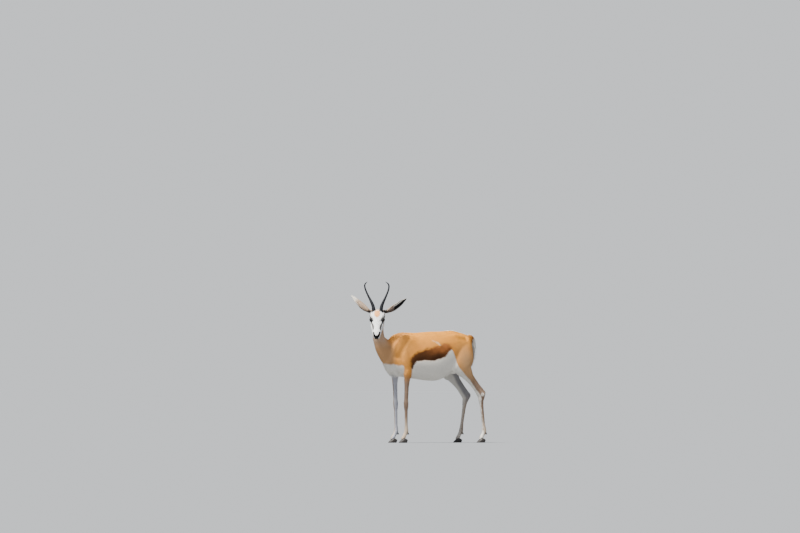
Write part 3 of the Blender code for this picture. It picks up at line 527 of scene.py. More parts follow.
def closed_shell(name, back, cup):
    """A closed mesh from two grids of points that share their rims."""
    rows, columns = back.shape[:2]
    count = rows * columns
    index = np.arange(count).reshape(rows, columns)
    a, b, c, d = index[:-1, :-1], index[:-1, 1:], index[1:, 1:], index[1:, :-1]
    outer = np.stack([a, b, c, d], -1).reshape(-1, 4)
    faces = [*outer.tolist(), *(outer[:, ::-1] + count).tolist()]
    rim = [*index[0, :-1], *index[:-1, -1], *index[-1, :0:-1], *index[:0:-1, 0]]
    for one, two in zip(rim, rim[1:] + rim[:1]):
        faces.append((int(two), int(one), int(one) + count, int(two) + count))
    mesh = bpy.data.meshes.new(name)
    mesh.from_pydata([*back.reshape(-1, 3).tolist(), *cup.reshape(-1, 3).tolist()], [], faces)
    facing_out(mesh)
    return linked(name, mesh)


ears = [closed_shell("ear", *ear_shell(side)) for side in (1, -1)]


# The tail's core.
# A thin bony whip that leaves the rump and hangs between the buttocks. It and the ears are joined to the
# skin as one surface, and its long hair is laid on later.
TAIL_ROOT = np.array((0.347, 0.0, 0.724))
TAIL_ROWS = [
    (-0.030, 0.000, 0.004, 0.0150),
    (-0.012, 0.000, 0.006, 0.0140),
    (0.006, 0.000, -0.004, 0.0110),
    (0.015, -0.001, -0.026, 0.0078),
    (0.017, -0.002, -0.062, 0.0058),
    (0.008, -0.003, -0.104, 0.0048),
    (-0.006, -0.003, -0.140, 0.0038),
    (-0.016, -0.003, -0.166, 0.0015),
]


def tube(name, path, radii, around):
    """A closed round tube along a path."""
    path = np.asarray(path, float)
    along = np.gradient(path, axis=0)
    along /= np.linalg.norm(along, axis=1)[:, None]
    side = np.cross(along, (0.0, 1.0, 0.3))
    side /= np.linalg.norm(side, axis=1)[:, None]
    third = np.cross(along, side)
    turns = np.linspace(0, 2 * math.pi, around, endpoint=False)[None, :, None]
    rings = path[:, None] + np.asarray(radii)[:, None, None] * (
        side[:, None] * np.cos(turns) + third[:, None] * np.sin(turns)
    )
    return linked(name, capped_rings(name, rings))


tail_curve = curve_through(TAIL_ROWS, 6)
tail_path = tail_curve[:, :3] + TAIL_ROOT + np.array(body_shift)
tail = tube("tail_core", tail_path, tail_curve[:, 3], 14)

limbs = bpy.data.collections.new("joined")
bpy.context.scene.collection.children.link(limbs)
for piece in [*ears, tail]:
    limbs.objects.link(piece)
union = skin.modifiers.new("union", "BOOLEAN")
union.operation = "UNION"
union.operand_type = "COLLECTION"
union.collection = limbs
union.solver = "MANIFOLD"
baked(skin)
for piece in [*ears, tail]:
    bpy.data.objects.remove(piece)
bpy.data.collections.remove(limbs)

# Where ear and head meet, the hide runs on without an edge.
skin_mesh = skin.data
skin_points = points_of(skin_mesh)
ends = edge_ends(skin_mesh)
at_root = np.linalg.norm(on_left(in_head(skin_points)) - EAR_ROOT, axis=1)
put_points(skin_mesh, evened(skin_points, *ends, EAR_JOIN_ROUNDS, ramp(0.026, 0.014, at_root)))
skin_mesh.shade_smooth()

# Normals as soft as the hide's own shading, and the points after the last change of shape.
SOFT_ROUNDS = 8
skin_points = points_of(skin_mesh)
soft_normals = normals_of(skin_mesh)
for _ in range(SOFT_ROUNDS):
    soft_normals = averaged(soft_normals, *ends)
soft_normals /= np.linalg.norm(soft_normals, axis=1)[:, None]

# The hide's own unwrap, which skin and coat share.
bpy.context.view_layer.objects.active = skin
skin.select_set(True)
skin_mesh.uv_layers.new(name="OFBake")
bpy.ops.object.mode_set(mode="EDIT")
bpy.ops.mesh.select_all(action="SELECT")
bpy.ops.uv.smart_project(angle_limit=math.radians(66), island_margin=0.002)
bpy.ops.object.mode_set(mode="OBJECT")
skin.select_set(False)


# The markings.
# Fawn above and white below, parted along each flank by a broad dark band; a white face with a dark line
# from eye to mouth; a white rump that runs up the back as a narrow closed fan of long hair.
def paint(red, green, blue):
    """A colour on the scale from 0 to 255 made linear."""
    share = np.array((red, green, blue)) / 255
    return np.where(share < 0.04045, share / 12.92, ((share + 0.055) / 1.055) ** 2.4)


FAWN_BACK = paint(236, 156, 54)
FAWN_SIDE = paint(226, 150, 64)
FAWN_SHOULDER = paint(222, 150, 70)
FAWN_THIGH = paint(198, 154, 108)
FAWN_NECK = paint(196, 164, 136)
FAWN_CHEST = paint(198, 150, 104)
LEG_BROWN = paint(146, 121, 102)
CREAM = paint(206, 184, 160)
WHITE_HAIR = paint(238, 232, 220)
WHITE_FACE = paint(242, 241, 238)
# Painted shade for the inner faces of the forelegs.
PAINTED_SHADE_WHITE = paint(184, 184, 192)
# Painted shade for the inner faces of the hind legs; below it, the shanks' greyish brown is their own colour.
PAINTED_SHADE_GREY = paint(146, 142, 142)
SHANK_GREY = paint(156, 138, 122)
BAND_DARK = paint(34, 12, 6)
BAND_RED = paint(150, 88, 50)
RUST = paint(138, 84, 44)
SCAR = paint(240, 218, 186)
PEACH = paint(240, 170, 108)
EYE_LINE = paint(30, 20, 17)
INK = paint(14, 13, 14)
TEMPLE_BROWN = paint(72, 56, 46)
EAR_BACK = paint(178, 154, 132)
EAR_CUP = paint(22, 19, 22)
EAR_LINING = paint(176, 152, 136)
# Painted shade on the ears.
EAR_PAINTED_SHADE = paint(116, 102, 92)

# Border of the white underparts and top of the dark band, from girth to tail: place and height.
BORDER = [
    (-0.340, 0.555),
    (-0.300, 0.545),
    (-0.250, 0.537),
    (-0.200, 0.532),
    (-0.175, 0.530),
    (-0.150, 0.506),
    (-0.135, 0.545),
    (-0.120, 0.562),
    (-0.083, 0.567),
    (-0.013, 0.566),
    (0.039, 0.575),
    (0.083, 0.591),
    (0.109, 0.619),
    (0.135, 0.642),
    (0.144, 0.645),
    (0.160, 0.610),
    (0.177, 0.576),
    (0.189, 0.541),
    (0.2115, 0.507),
    (0.234, 0.4655),
    (0.262, 0.420),
]
BAND_TOP = [
    (-0.190, 0.560),
    (-0.150, 0.600),
    (-0.135, 0.611),
    (-0.083, 0.634),
    (-0.031, 0.650),
    (0.022, 0.659),
    (0.057, 0.674),
    (0.092, 0.690),
    (0.118, 0.682),
    (0.150, 0.660),
]

# The hind leg's middle line by side, -1 on the left, and where on its outer face the white in front of it
# gives way to brown: height, then place.
HIND_MIDDLE = {
    -1: [(0.078, 0.410), (0.326, 0.380), (0.525, 0.240), (0.640, 0.242)],
    1: [(0.078, 0.297), (0.312, 0.334), (0.498, 0.216), (0.635, 0.238)],
}
HIND_EDGE = [
    (0.100, -0.008),
    (0.250, -0.008),
    (0.302, -0.006),
    (0.341, -0.007),
    (0.405, -0.010),
    (0.444, -0.0175),
    (0.500, -0.036),
    (0.563, -0.057),
]
SCAR_ENDS = np.array([(0.002, 0.703), (0.050, 0.674)])
JAW_EDGE = [
    (-0.02, -0.060),
    (0.024, -0.063),
    (0.068, -0.0705),
    (0.110, -0.057),
    (0.160, -0.045),
    (0.240, -0.022),
]

# The line from eye to mouth: head places, then half its width.
EYE_LINE_PATH = [
    (0.104, 0.0375, 0.0190, 0.0032),
    (0.118, 0.0365, 0.0170, 0.0036),
    (0.132, 0.0335, 0.0190, 0.0056),
    (0.144, 0.0304, 0.0208, 0.0072),
    (0.156, 0.0274, 0.0208, 0.0082),
    (0.167, 0.0252, 0.0190, 0.0080),
    (0.177, 0.0240, 0.0168, 0.0070),
    (0.186, 0.0245, 0.0120, 0.0030),
]
NOSE_INK = [*NOSTRIL, (0.2085, 0.0250, 0.0140)]
NOISE_CELLS = np.random.default_rng(7).random((32, 32, 32))


def cloud(points, size):
    """Smooth random values from -0.5 to 0.5 at frame points, in patches of about this size."""
    cell = points / size
    low = np.floor(cell).astype(int)
    part = cell - low
    part = part * part * (3 - 2 * part)
    total = np.zeros(len(points))
    for corner in np.ndindex(2, 2, 2):
        share = np.prod(np.where(corner, part, 1 - part), axis=1)
        x, y, z = ((low + corner) % 32).T
        total += share * NOISE_CELLS[x, y, z]
    return total - 0.5


def along_rows(rows, at):
    rows = np.array(rows)
    return np.interp(at, rows[:, 0], rows[:, 1])


def mixed(colour, other, share):
    return colour + (other - colour) * np.clip(share, 0, 1)[:, None]


def ear_places(points, side):
    """On one ear: the share from root to tip, the place across from -1 to 1, and how surely it is ear."""
    tip = ear_tip_way(side)
    offset = points - from_head(np.array(EAR_ROOT) * (1, side, 1))
    share = (offset @ tip + 0.006) / EAR_LENGTH
    aside = np.linalg.norm(offset - tip * (offset @ tip)[:, None], axis=1)
    middle, opening, across, _, curl = ear_section(side, share)
    way = points - middle
    turn = np.arctan2(np.sum(way * across, axis=1), -np.sum(way * opening, axis=1))
    return share, turn / curl, way, ramp(0.10, 0.17, share) * (aside < 0.055)


def body_colour(points, normals):
    """Colours of trunk, neck, legs and tail."""
    x, y, z = in_body(points).T
    aside = np.abs(y)
    out = normals[:, 1] * np.sign(y)
    fore_aft, upward = normals[:, 0], normals[:, 2]
    ragged = 0.007 * cloud(points, 0.0045) + 0.007 * cloud(points, 0.016)
    patchy = cloud(points, 0.030) + 0.6 * cloud(points, 0.012)

    colour = np.tile(FAWN_SIDE, (len(points), 1))
    colour = mixed(colour, FAWN_BACK, ramp(0.66, 0.74, z))
    colour = mixed(colour, FAWN_SHOULDER, ramp(-0.12, -0.19, x))
    colour = mixed(colour, FAWN_THIGH, ramp(0.13, 0.27, x) * ramp(0.73, 0.55, z))
    colour = mixed(colour, FAWN_CHEST, ramp(-0.26, -0.31, x) * ramp(0.72, 0.66, z))
    colour = mixed(colour, FAWN_NECK, ramp(-0.29, -0.34, x) * ramp(0.64, 0.72, z))
    colour = mixed(colour, LEG_BROWN, ramp(0.50, 0.40, z))
    colour = mixed(colour, CREAM, ramp(0.20, 0.09, z))
    colour = colour * (1 + 0.10 * patchy)[:, None]

    border = along_rows(BORDER, x)
    band_top = along_rows(BAND_TOP, x)
    band = ramp(-0.003, 0.003, z - border + ragged) * ramp(0.013, -0.011, z - band_top + 2.0 * ragged)
    band *= ramp(-0.186, -0.150, x + ragged) * ramp(0.156, 0.132, x + ragged) * (aside > 0.03)
    rise = (z - border) / (band_top - border)
    shade = (0.12 + 0.88 * ramp(-0.09, 0.13, x)) * ramp(0.10, 0.95, rise + 0.22 * patchy)
    shade = np.clip(shade + 0.35 * ramp(0.05, 0.13, x), 0, 1)
    band_colour = BAND_DARK + (BAND_RED - BAND_DARK) * (shade * (1 + 0.5 * patchy))[:, None]
    colour = mixed(colour, band_colour, band * (0.96 - 0.10 * shade))

    white = ramp(0.003, -0.004, z - border + ragged)
    column = ramp(0.006, -0.006, np.abs(x + 0.187) - 0.029 + ragged) * ramp(0.046, 0.054, aside) * (z > 0.40)
    turned = np.where(fore_aft > 0, 0.85, 0.40) * fore_aft
    fore_brown = ramp(-0.06, 0.14, 0.8 * out - turned + 14 * ragged)
    fore = ramp(-0.10, -0.12, x)
    white *= 1 - fore * np.maximum(column * ramp(0.0, 0.2, out), ramp(0.455, 0.43, z) * fore_brown)
    hind = ramp(0.15, 0.20, x)
    middle = np.where(y < 0, along_rows(HIND_MIDDLE[-1], z), along_rows(HIND_MIDDLE[1], z))
    behind = x - middle - along_rows(HIND_EDGE, z)
    hind_brown = ramp(-0.004, 0.004, behind + ragged) * ramp(-0.10, 0.12, out + 10 * ragged)
    hind_brown = np.maximum(hind_brown, 0.8 * ramp(0.50, 0.80, fore_aft + 8 * ragged) * ramp(0.46, 0.40, z))
    white += (1 - hind_brown - white) * hind * ramp(0.53, 0.51, z)
    inner = hind * ramp(0.08, -0.12, out + 10 * ragged) * ramp(0.64, 0.60, z) * (aside < 0.09)
    inner *= 1 - 0.8 * ramp(0.50, 0.80, fore_aft + 8 * ragged)
    cleft = hind * ramp(0.036, 0.026, aside + ragged) * ramp(0.64, 0.60, z)
    white = np.maximum(white, np.maximum(inner, cleft))
    pale = np.tile(WHITE_HAIR, (len(points), 1))
    # Painted shade: the inner faces of the forelegs are greyed.
    pale = mixed(pale, PAINTED_SHADE_WHITE, fore * ramp(0.49, 0.44, z) * ramp(0.3, -0.3, out))
    # Painted shade: the inner faces of the hind legs go grey, turning to the shanks' own greyish brown below.
    painted_shade = mixed(np.tile(PAINTED_SHADE_GREY, (len(points), 1)), SHANK_GREY, ramp(0.34, 0.24, z))
    inside = ramp(0.30, -0.20, out) * (0.45 + 0.55 * ramp(-0.018, 0.006, x - middle))
    pale = mixed(pale, painted_shade, hind * ramp(0.545, 0.475, z) * inside)
    colour = mixed(colour, pale * (1 + 0.06 * patchy)[:, None], white)
    # Painted highlight: a white spot on the near hind leg's hock.
    from_hock_highlight = np.linalg.norm((x - 0.390, 1.2 * (z - 0.334)), axis=0)
    colour = mixed(colour, WHITE_HAIR, 0.85 * ramp(0.020, 0.009, from_hock_highlight + ragged) * (y < -0.05))

    along = SCAR_ENDS[1] - SCAR_ENDS[0]
    from_end = np.column_stack([x, z]) - SCAR_ENDS[0]
    part = np.clip(from_end @ along / (along @ along), 0, 1)
    bowed = part * (1 - part) * 0.022
    scar = np.linalg.norm(from_end - part[:, None] * along - np.column_stack([0 * part, bowed]), axis=1)
    scar = scar - 0.0018 * part + 1.6 * ragged
    colour = mixed(colour, SCAR, 0.62 * ramp(0.0046, 0.0014, scar) * (y < -0.05))
    spot = np.hypot((x - 0.036) / 1.8, z - 0.664) + 0.8 * ragged
    colour = mixed(colour, BAND_RED, 0.9 * ramp(0.0058, 0.0030, spot) * (y < -0.05))

    half = np.interp(z, (0.45, 0.55, 0.66, 0.70, 0.725), (0.036, 0.044, 0.048, 0.036, 0.0))
    edge = aside - half + ragged
    rear = ramp(0.262, 0.292, x + 0.5 * ragged) * ramp(0.10, 0.35, fore_aft) * ramp(0.40, 0.46, z)
    colour = mixed(colour, RUST, 0.85 * rear * ramp(0.014, 0.005, edge))
    colour = mixed(colour, WHITE_HAIR, rear * ramp(0.003, -0.003, edge))
    rump_edge = ramp(0.285, 0.305, x) * ramp(0.66, 0.70, z) * ramp(0.05, 0.35, fore_aft)
    colour = mixed(colour, RUST, 0.6 * rump_edge * ramp(0.050, 0.036, aside))
    fan = ramp(0.085, 0.12, x) * ramp(0.3, 0.7, upward) * ramp(0.72, 0.74, z)
    colour = mixed(colour, RUST, 0.60 * fan * ramp(0.028, 0.012, aside + ragged))
    colour = mixed(colour, WHITE_HAIR, 0.70 * fan * ramp(0.0060, 0.0030, aside + 0.6 * ragged))
    return colour


def face_colour(points):
    """Colours of the head without the ears."""
    places = in_head(points)
    x, y, z = places.T
    aside = np.abs(y)
    place = on_left(places)
    ragged = 0.0035 * cloud(points, 0.003) + 0.003 * cloud(points, 0.009)
    colour = np.tile(WHITE_FACE, (len(points), 1)) * (1 + 0.05 * cloud(points, 0.01))[:, None]
    brow = ramp(1.16, 0.86, np.hypot((x - 0.060) / 0.035, aside / 0.0195) + 30 * ragged) * (z > 0.02)
    colour = mixed(colour, PEACH, brow)
    blaze = ramp(1.2, 0.6, np.hypot((x - 0.088) / 0.010, aside / 0.012) + 40 * ragged) * (z > 0.02)
    colour = mixed(colour, PEACH * 0.8, 0.5 * blaze)
    line = curve_through(EYE_LINE_PATH, 8)
    gaps = np.linalg.norm(place[:, None] - line[None, :, :3], axis=2)
    nearest = gaps.argmin(1)
    gap, width = gaps.min(1), line[nearest, 3]
    colour = mixed(colour, EYE_LINE, 0.92 * ramp(1.5, 0.7, (gap + 0.6 * ragged) / width))
    colour = mixed(colour, FAWN_NECK, ramp(0.018, 0.004, x + 2 * ragged))
    temple = ramp(0.0435, 0.0475, aside + ragged) * ramp(0.088, 0.076, x) * ramp(-0.022, -0.008, z)
    colour = mixed(colour, TEMPLE_BROWN, 0.92 * temple)
    colour = mixed(colour, INK, 0.9 * temple * ramp(0.050, 0.068, x + ragged))
    under_jaw = ramp(-0.004, -0.012, z - along_rows(JAW_EDGE, x) + ragged) * ramp(0.13, 0.11, x)
    colour = mixed(colour, FAWN_NECK, under_jaw)
    horn = np.linalg.norm(place[:, :2] - (0.024, 0.024), axis=1)
    colour = mixed(colour, INK, 0.9 * ramp(0.019, 0.014, horn + ragged) * (z > 0.02) * (aside > 0.011))
    to_ear = np.abs(x - 0.014 + 0.2 * (aside - 0.03)) + ragged
    colour = mixed(colour, INK, 0.9 * ramp(0.012, 0.006, to_ear) * (z > 0.012) * (aside > 0.02))

    gap, _ = nearest_on(curve_through(NOSE_INK, 8), place)
    nose = ramp(0.0106, 0.0080, gap + 0.5 * ragged)
    middle = np.hypot(aside, 0.7 * (z + 0.008)) + 4 * np.maximum(0.230 - x, 0)
    nose = np.maximum(nose, ramp(0.0135, 0.0105, middle + 0.5 * ragged))
    gap, _ = nearest_on(curve_through(MOUTH, 8), place)
    nose = np.maximum(nose, 0.85 * ramp(0.0030, 0.0012, gap))
    # Black on the lower lip: partly the lip's own dark skin, partly painted shadow under the chin.
    lip_and_chin_shadow = ramp(0.0175, 0.0140, aside + ragged) * ramp(0.200, 0.210, x) * ramp(-0.0165, -0.0195, z)
    nose = np.maximum(nose, lip_and_chin_shadow)
    colour = mixed(colour, INK, nose)
    round_eye = rim_gap(places) - 0.0036 * ramp(0.086, 0.104, x) + 0.5 * ragged
    return mixed(colour, INK, 0.95 * ramp(0.0084, 0.0056, round_eye))


def ear_colour(points, normals, side):
    """Colours of one ear: pale brown behind, black in the cup, white rims and a brown lining at the root;
    painted shade darkens the back's lower edge and one side of the lining.
    """
    share, place, way, _ = ear_places(points, side)
    ragged = 0.25 * cloud(points, 0.004)
    inside = np.sum(normals * way, axis=1) < 0
    colour = np.tile(EAR_BACK, (len(points), 1))
    cup = np.tile(EAR_CUP, (len(points), 1))
    rim_edge = np.interp(share, (0.35, 0.55, 0.80, 1.00), (0.30, 0.18, 0.00, -0.30))
    rims = 0.95 * ramp(0.06, -0.08, place - rim_edge + 0.4 * ragged) + 0.7 * ramp(0.88, 0.97, place + ragged)
    cup = mixed(cup, WHITE_HAIR, rims)
    # Painted shade: the lining darkens across the cup.
    lining = mixed(np.tile(EAR_LINING, (len(points), 1)), EAR_PAINTED_SHADE, ramp(0.20, 0.60, place + ragged))
    cup = mixed(cup, lining, ramp(0.50, 0.38, share + 0.10 * place + 0.2 * ragged))
    # Painted shade along the lower edge of the ear's back, near the root.
    colour = mixed(colour, EAR_PAINTED_SHADE, 0.75 * ramp(0.62, 0.86, place + ragged) * ramp(0.56, 0.40, share))
    white_rim = ramp(0.72, 0.95, np.abs(place) + ragged) * ramp(0.40, 0.60, share)
    colour = mixed(colour, WHITE_HAIR, 0.80 * white_rim)
    colour = mixed(colour, WHITE_HAIR, 0.9 * ramp(0.62, 0.84, share + 0.1 * ragged))
    return np.where(inside[:, None], cup, colour)


def tail_colour(points):
    """White, darkening to the black tuft at the tail's end; and how surely each point is tail."""
    gap, share = nearest_on(tail_path, points)
    colour = np.tile(WHITE_HAIR, (len(points), 1))
    colour = mixed(colour, FAWN_SIDE, 0.85 * ramp(0.30, 0.16, share))
    sure = ramp(0.012, 0.009, gap) * ramp(0.24, 0.30, share)
    return mixed(colour, INK, 0.9 * ramp(0.66, 0.80, share)), sure


def coat_colour(points, normals):
    """The coat's colour at frame points; skin and hair both take theirs from here."""
    colour = body_colour(points, normals)
    place = in_head(points)
    jaw = place[:, 2] - along_rows(JAW_EDGE, place[:, 0]) + 0.035
    head = ramp(-0.022, -0.004, place[:, 0]) * ramp(0.0, 0.010, jaw) * (np.abs(place[:, 1]) < 0.075)
    head = head * (from_face(place) < 0.17)
    on_it = head > 0
    colour[on_it] = mixed(colour[on_it], face_colour(points[on_it]), head[on_it])
    for side in (1, -1):
        sure = ear_places(points, side)[3]
        on_it = sure > 0
        colour[on_it] = mixed(colour[on_it], ear_colour(points[on_it], normals[on_it], side), sure[on_it])
    near_tail = np.abs(points - tail_path.mean(0)).max(axis=1) < 0.13
    tail, sure = tail_colour(points[near_tail])
    colour[near_tail] = mixed(colour[near_tail], tail, sure)
    return np.clip(colour, 0.002, 0.95)


def give_colour(mesh, colours):
    """Stores the coat's colours on a mesh's points under the name that the material reads."""
    layer = mesh.attributes.new("coat", "FLOAT_COLOR", "POINT")
    opaque = np.column_stack([colours, np.ones(len(colours))])
    layer.data.foreach_set("color", opaque.astype(np.float32).ravel())


give_colour(skin_mesh, coat_colour(skin_points, soft_normals))


# The coat's material.
# Dull short hair that carries the markings. The hide between the tufts has a fine grain of its own, so
# that it reads as hair wherever it shows.
class Value:
    """A node's output that takes part in sums."""

    def __init__(self, box, socket):
        self.box = box
        self.socket = socket

    def __add__(self, other):
        return self.box.maths("ADD", self, other)

    def __radd__(self, other):
        return self.box.maths("ADD", other, self)

    def __mul__(self, other):
        return self.box.maths("MULTIPLY", self, other)

    def __rmul__(self, other):
        return self.box.maths("MULTIPLY", other, self)

    def __truediv__(self, other):
        return self.box.maths("DIVIDE", self, other)

    def __rtruediv__(self, other):
        return self.box.maths("DIVIDE", other, self)

    def __pow__(self, other):
        return self.box.maths("POWER", self, other)

    def __rpow__(self, other):
        return self.box.maths("POWER", other, self)


class NodeBox:
    """A node tree under way and the one method that adds nodes to it."""

    def __init__(self, tree):
        self.nodes = tree.nodes
        self.links = tree.links

    def node(self, kind, settings=None, sockets=None):
        """Adds a node: its settings first, then values or links; gives back its outputs."""
        made = self.nodes.new(kind)
        for key, value in (settings or {}).items():
            setattr(made, key, value)
        for key, value in (sockets or {}).items():
            self.feed(made.inputs[key], value)
        return [Value(self, socket) for socket in made.outputs]

    def feed(self, socket, value):
        if isinstance(value, Value):
            self.links.new(value.socket, socket)
        else:
            socket.default_value = value

    def maths(self, operation, first, second=0.0):
        return self.node("ShaderNodeMath", {"operation": operation}, {0: first, 1: second})[0]


class PaintBox(NodeBox):
    """A material under way."""

    def __init__(self, name):
        self.material = bpy.data.materials.new(name)
        self.material.use_nodes = True
        super().__init__(self.material.node_tree)
        self.surface = self.nodes["Principled BSDF"]

    def finish(self, **sockets):
        """Sets the surface's sockets, named with underscores for spaces."""
        for key, value in sockets.items():
            self.feed(self.surface.inputs[key.replace("_", " ")], value)
        return self.material


box = PaintBox("short hair")
place = box.node("ShaderNodeTexCoord")[3]
tint = box.node("ShaderNodeAttribute", {"attribute_name": "coat"})[0]
sockets = {"Vector": place, "Scale": 620.0, "Detail": 3.0, "Roughness": 0.6}
grain = box.node("ShaderNodeTexNoise", {}, sockets)[0]
tone = 0.86 + 0.28 * grain
shaded = box.node("ShaderNodeVectorMath", {"operation": "SCALE"}, {0: tint, "Scale": tone})[0]
relief = box.node("ShaderNodeBump", {}, {"Strength": 0.35, "Distance": 0.0006, "Height": grain})[0]
short_hair = box.finish(Base_Color=shaded, Roughness=0.72, Normal=relief, Specular_IOR_Level=0.14)
skin_mesh.materials.clear()
skin_mesh.materials.append(short_hair)
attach(skin, "root")
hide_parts(*FLESH_NODES, "ear_left", "ear_right", "tail")


# The lie of the hair.
# It runs back along the trunk, down the legs, down the neck, and from the nose up over the face. It is
# worked out for the skin, evened out, and read off at the root of each tuft.
LIE_ROUNDS = 12


def lie_of(points):
    """The way the hair points at frame points, before it is laid flat on them."""
    x, y, z = in_body(points).T
    place = in_head(points)
    way = np.tile(np.array((1.0, 0.0, -0.18)), (len(points), 1))
    for back, down, share in (
        (0.5, -0.85, ramp(-0.14, -0.21, x) * ramp(0.72, 0.62, z)),
        (0.35, -0.95, ramp(0.14, 0.22, x) * ramp(0.74, 0.66, z)),
        (0.8, -0.1, ramp(0.51, 0.47, z) * ramp(-0.14, -0.10, x) * ramp(0.16, 0.13, x)),
        (0.25, -1.0, ramp(0.29, 0.34, x)),
        (0.7, -0.6, ramp(-0.26, -0.31, x)),
        (0.12, -1.0, ramp(0.66, 0.74, z) * ramp(-0.30, -0.34, x)),
        (0.0, -1.0, ramp(0.46, 0.40, z)),
    ):
        way = mixed(way, np.array((back, 0.0, down)), share)
    fan = 0.35 * np.sign(place[:, 1]) * ramp(0.0, 0.02, np.abs(place[:, 1]))
    over_face = np.column_stack([-np.ones(len(points)), fan, np.zeros(len(points))]) @ head_axes
    cheek = np.array((-0.8, 0.0, -0.5)) @ head_axes
    on_face = ramp(-0.01, 0.02, place[:, 0]) * (from_face(place) < 0.17)
    on_face = on_face * ramp(-0.082, -0.070, place[:, 2])
    way = mixed(way, over_face, on_face)
    way = mixed(way, cheek, on_face * ramp(0.0, -0.02, place[:, 2]) * ramp(0.13, 0.10, place[:, 0]))
    for side in (1, -1):
        way = mixed(way, ear_tip_way(side), ear_places(points, side)[3])
    hanging = ramp(0.340, 0.352, x) * ramp(0.035, 0.025, np.abs(y))
    hanging *= ramp(0.74, 0.72, z) * ramp(0.53, 0.55, z)
    return mixed(way, np.array((0.0, 0.0, -1.0)), hanging)


def laid_flat(ways, normals):
    ways = ways - normals * np.sum(ways * normals, axis=1)[:, None]
    return ways / np.maximum(np.linalg.norm(ways, axis=1), 1e-6)[:, None]


skin_normals = normals_of(skin_mesh)
skin_lie = laid_flat(lie_of(skin_points), soft_normals)
for _ in range(LIE_ROUNDS):
    skin_lie = averaged(skin_lie, *ends)
skin_lie = laid_flat(skin_lie, skin_normals)


# The coat.
# Short sleek hair in thin flat tufts that overlap like thatch: longest on belly and rump, shortest on
# the face and feet. Each tuft is three-sided, bent once, and ends in a point.
def hair_size(points):
    """Length and width of the tufts at frame points."""
    x, _, z = in_body(points).T
    place = in_head(points)
    length = 0.0125 + 0.005 * ramp(0.53, 0.47, z) + 0.005 * ramp(0.29, 0.33, x)
    length += 0.002 * ramp(-0.28, -0.33, x)
    width = np.full(len(points), 0.00145)
    low = ramp(0.46, 0.36, z)
    length += (0.0070 - length) * low
    width += (0.0010 - width) * low
    length -= 0.0022 * ramp(0.12, 0.06, z)
    on_head = ramp(-0.01, 0.03, place[:, 0]) * (from_face(place) < 0.17)
    on_head = on_head * ramp(-0.088, -0.074, place[:, 2])
    length += (0.0058 - 0.0030 * ramp(0.15, 0.225, place[:, 0]) - length) * on_head
    width += (0.00090 - 0.0003 * ramp(0.16, 0.22, place[:, 0]) - width) * on_head
    for side in (1, -1):
        on_it = ear_places(points, side)[3]
        length += (0.0062 - length) * on_it
        width += (0.00085 - width) * on_it
    length *= 0.30 + 0.70 * ramp(0.001, 0.012, rim_gap(place))
    return length, width


skin_mesh.calc_loop_triangles()
skin_corners = rows_of(skin_mesh.loop_triangles, "vertices", 3, np.int64)
skin_loops = rows_of(skin_mesh.loop_triangles, "loops", 3, np.int64)
skin_uv = rows_of(skin_mesh.uv_layers["OFBake"].data, "uv", 2)
first, second, third = skin_points[skin_corners].transpose(1, 0, 2)
skin_areas = np.linalg.norm(np.cross(second - first, third - first), axis=1) / 2


def roots_on_skin(weight, count, seed):
    """Roots spread over the skin by a weight given for each vertex, with what the skin holds there."""
    rng = np.random.default_rng(seed)
    mass = np.cumsum(skin_areas * weight[skin_corners].mean(axis=1))
    at = (np.arange(count) + rng.random(count)) / count * mass[-1]
    face = np.minimum(np.searchsorted(mass, at), len(skin_corners) - 1)
    one, two = rng.random(count), rng.random(count)
    swap = one + two > 1
    one, two = np.where(swap, 1 - one, one), np.where(swap, 1 - two, two)
    share = np.column_stack([1 - one - two, one, two])

    def carried(values, corners):
        return np.einsum("ij,ijk->ik", share, values[corners[face]])

    normals = carried(skin_normals, skin_corners)
    normals /= np.linalg.norm(normals, axis=1)[:, None]
    return {
        "at": carried(skin_points, skin_corners),
        "normal": normals,
        "soft": carried(soft_normals, skin_corners),
        "way": laid_flat(carried(skin_lie, skin_corners), normals),
        "uv": carried(skin_uv, skin_loops),
        "rng": rng,
    }


PIECE_TRIANGLES = 196_000

# How far a tuft catches the light as the hide under it does, from 0 to 1, and how much tufts differ in tone.
SLEEKNESS = 0.65
TONE_SPREAD = 0.05


def tuft_faces(rings):
    """Triangles of one tuft: its root, rings of three points each, then its tip."""
    faces = [(0, 1 + (k + 1) % 3, 1 + k) for k in range(3)]
    for ring in range(rings - 1):
        for k in range(3):
            a, b = 1 + 3 * ring + k, 1 + 3 * ring + (k + 1) % 3
            faces += [(a, b, b + 3), (a, b + 3, a + 3)]
    last = 1 + 3 * (rings - 1)
    faces += [(last + k, last + (k + 1) % 3, last + 3) for k in range(3)]
    return np.array(faces)


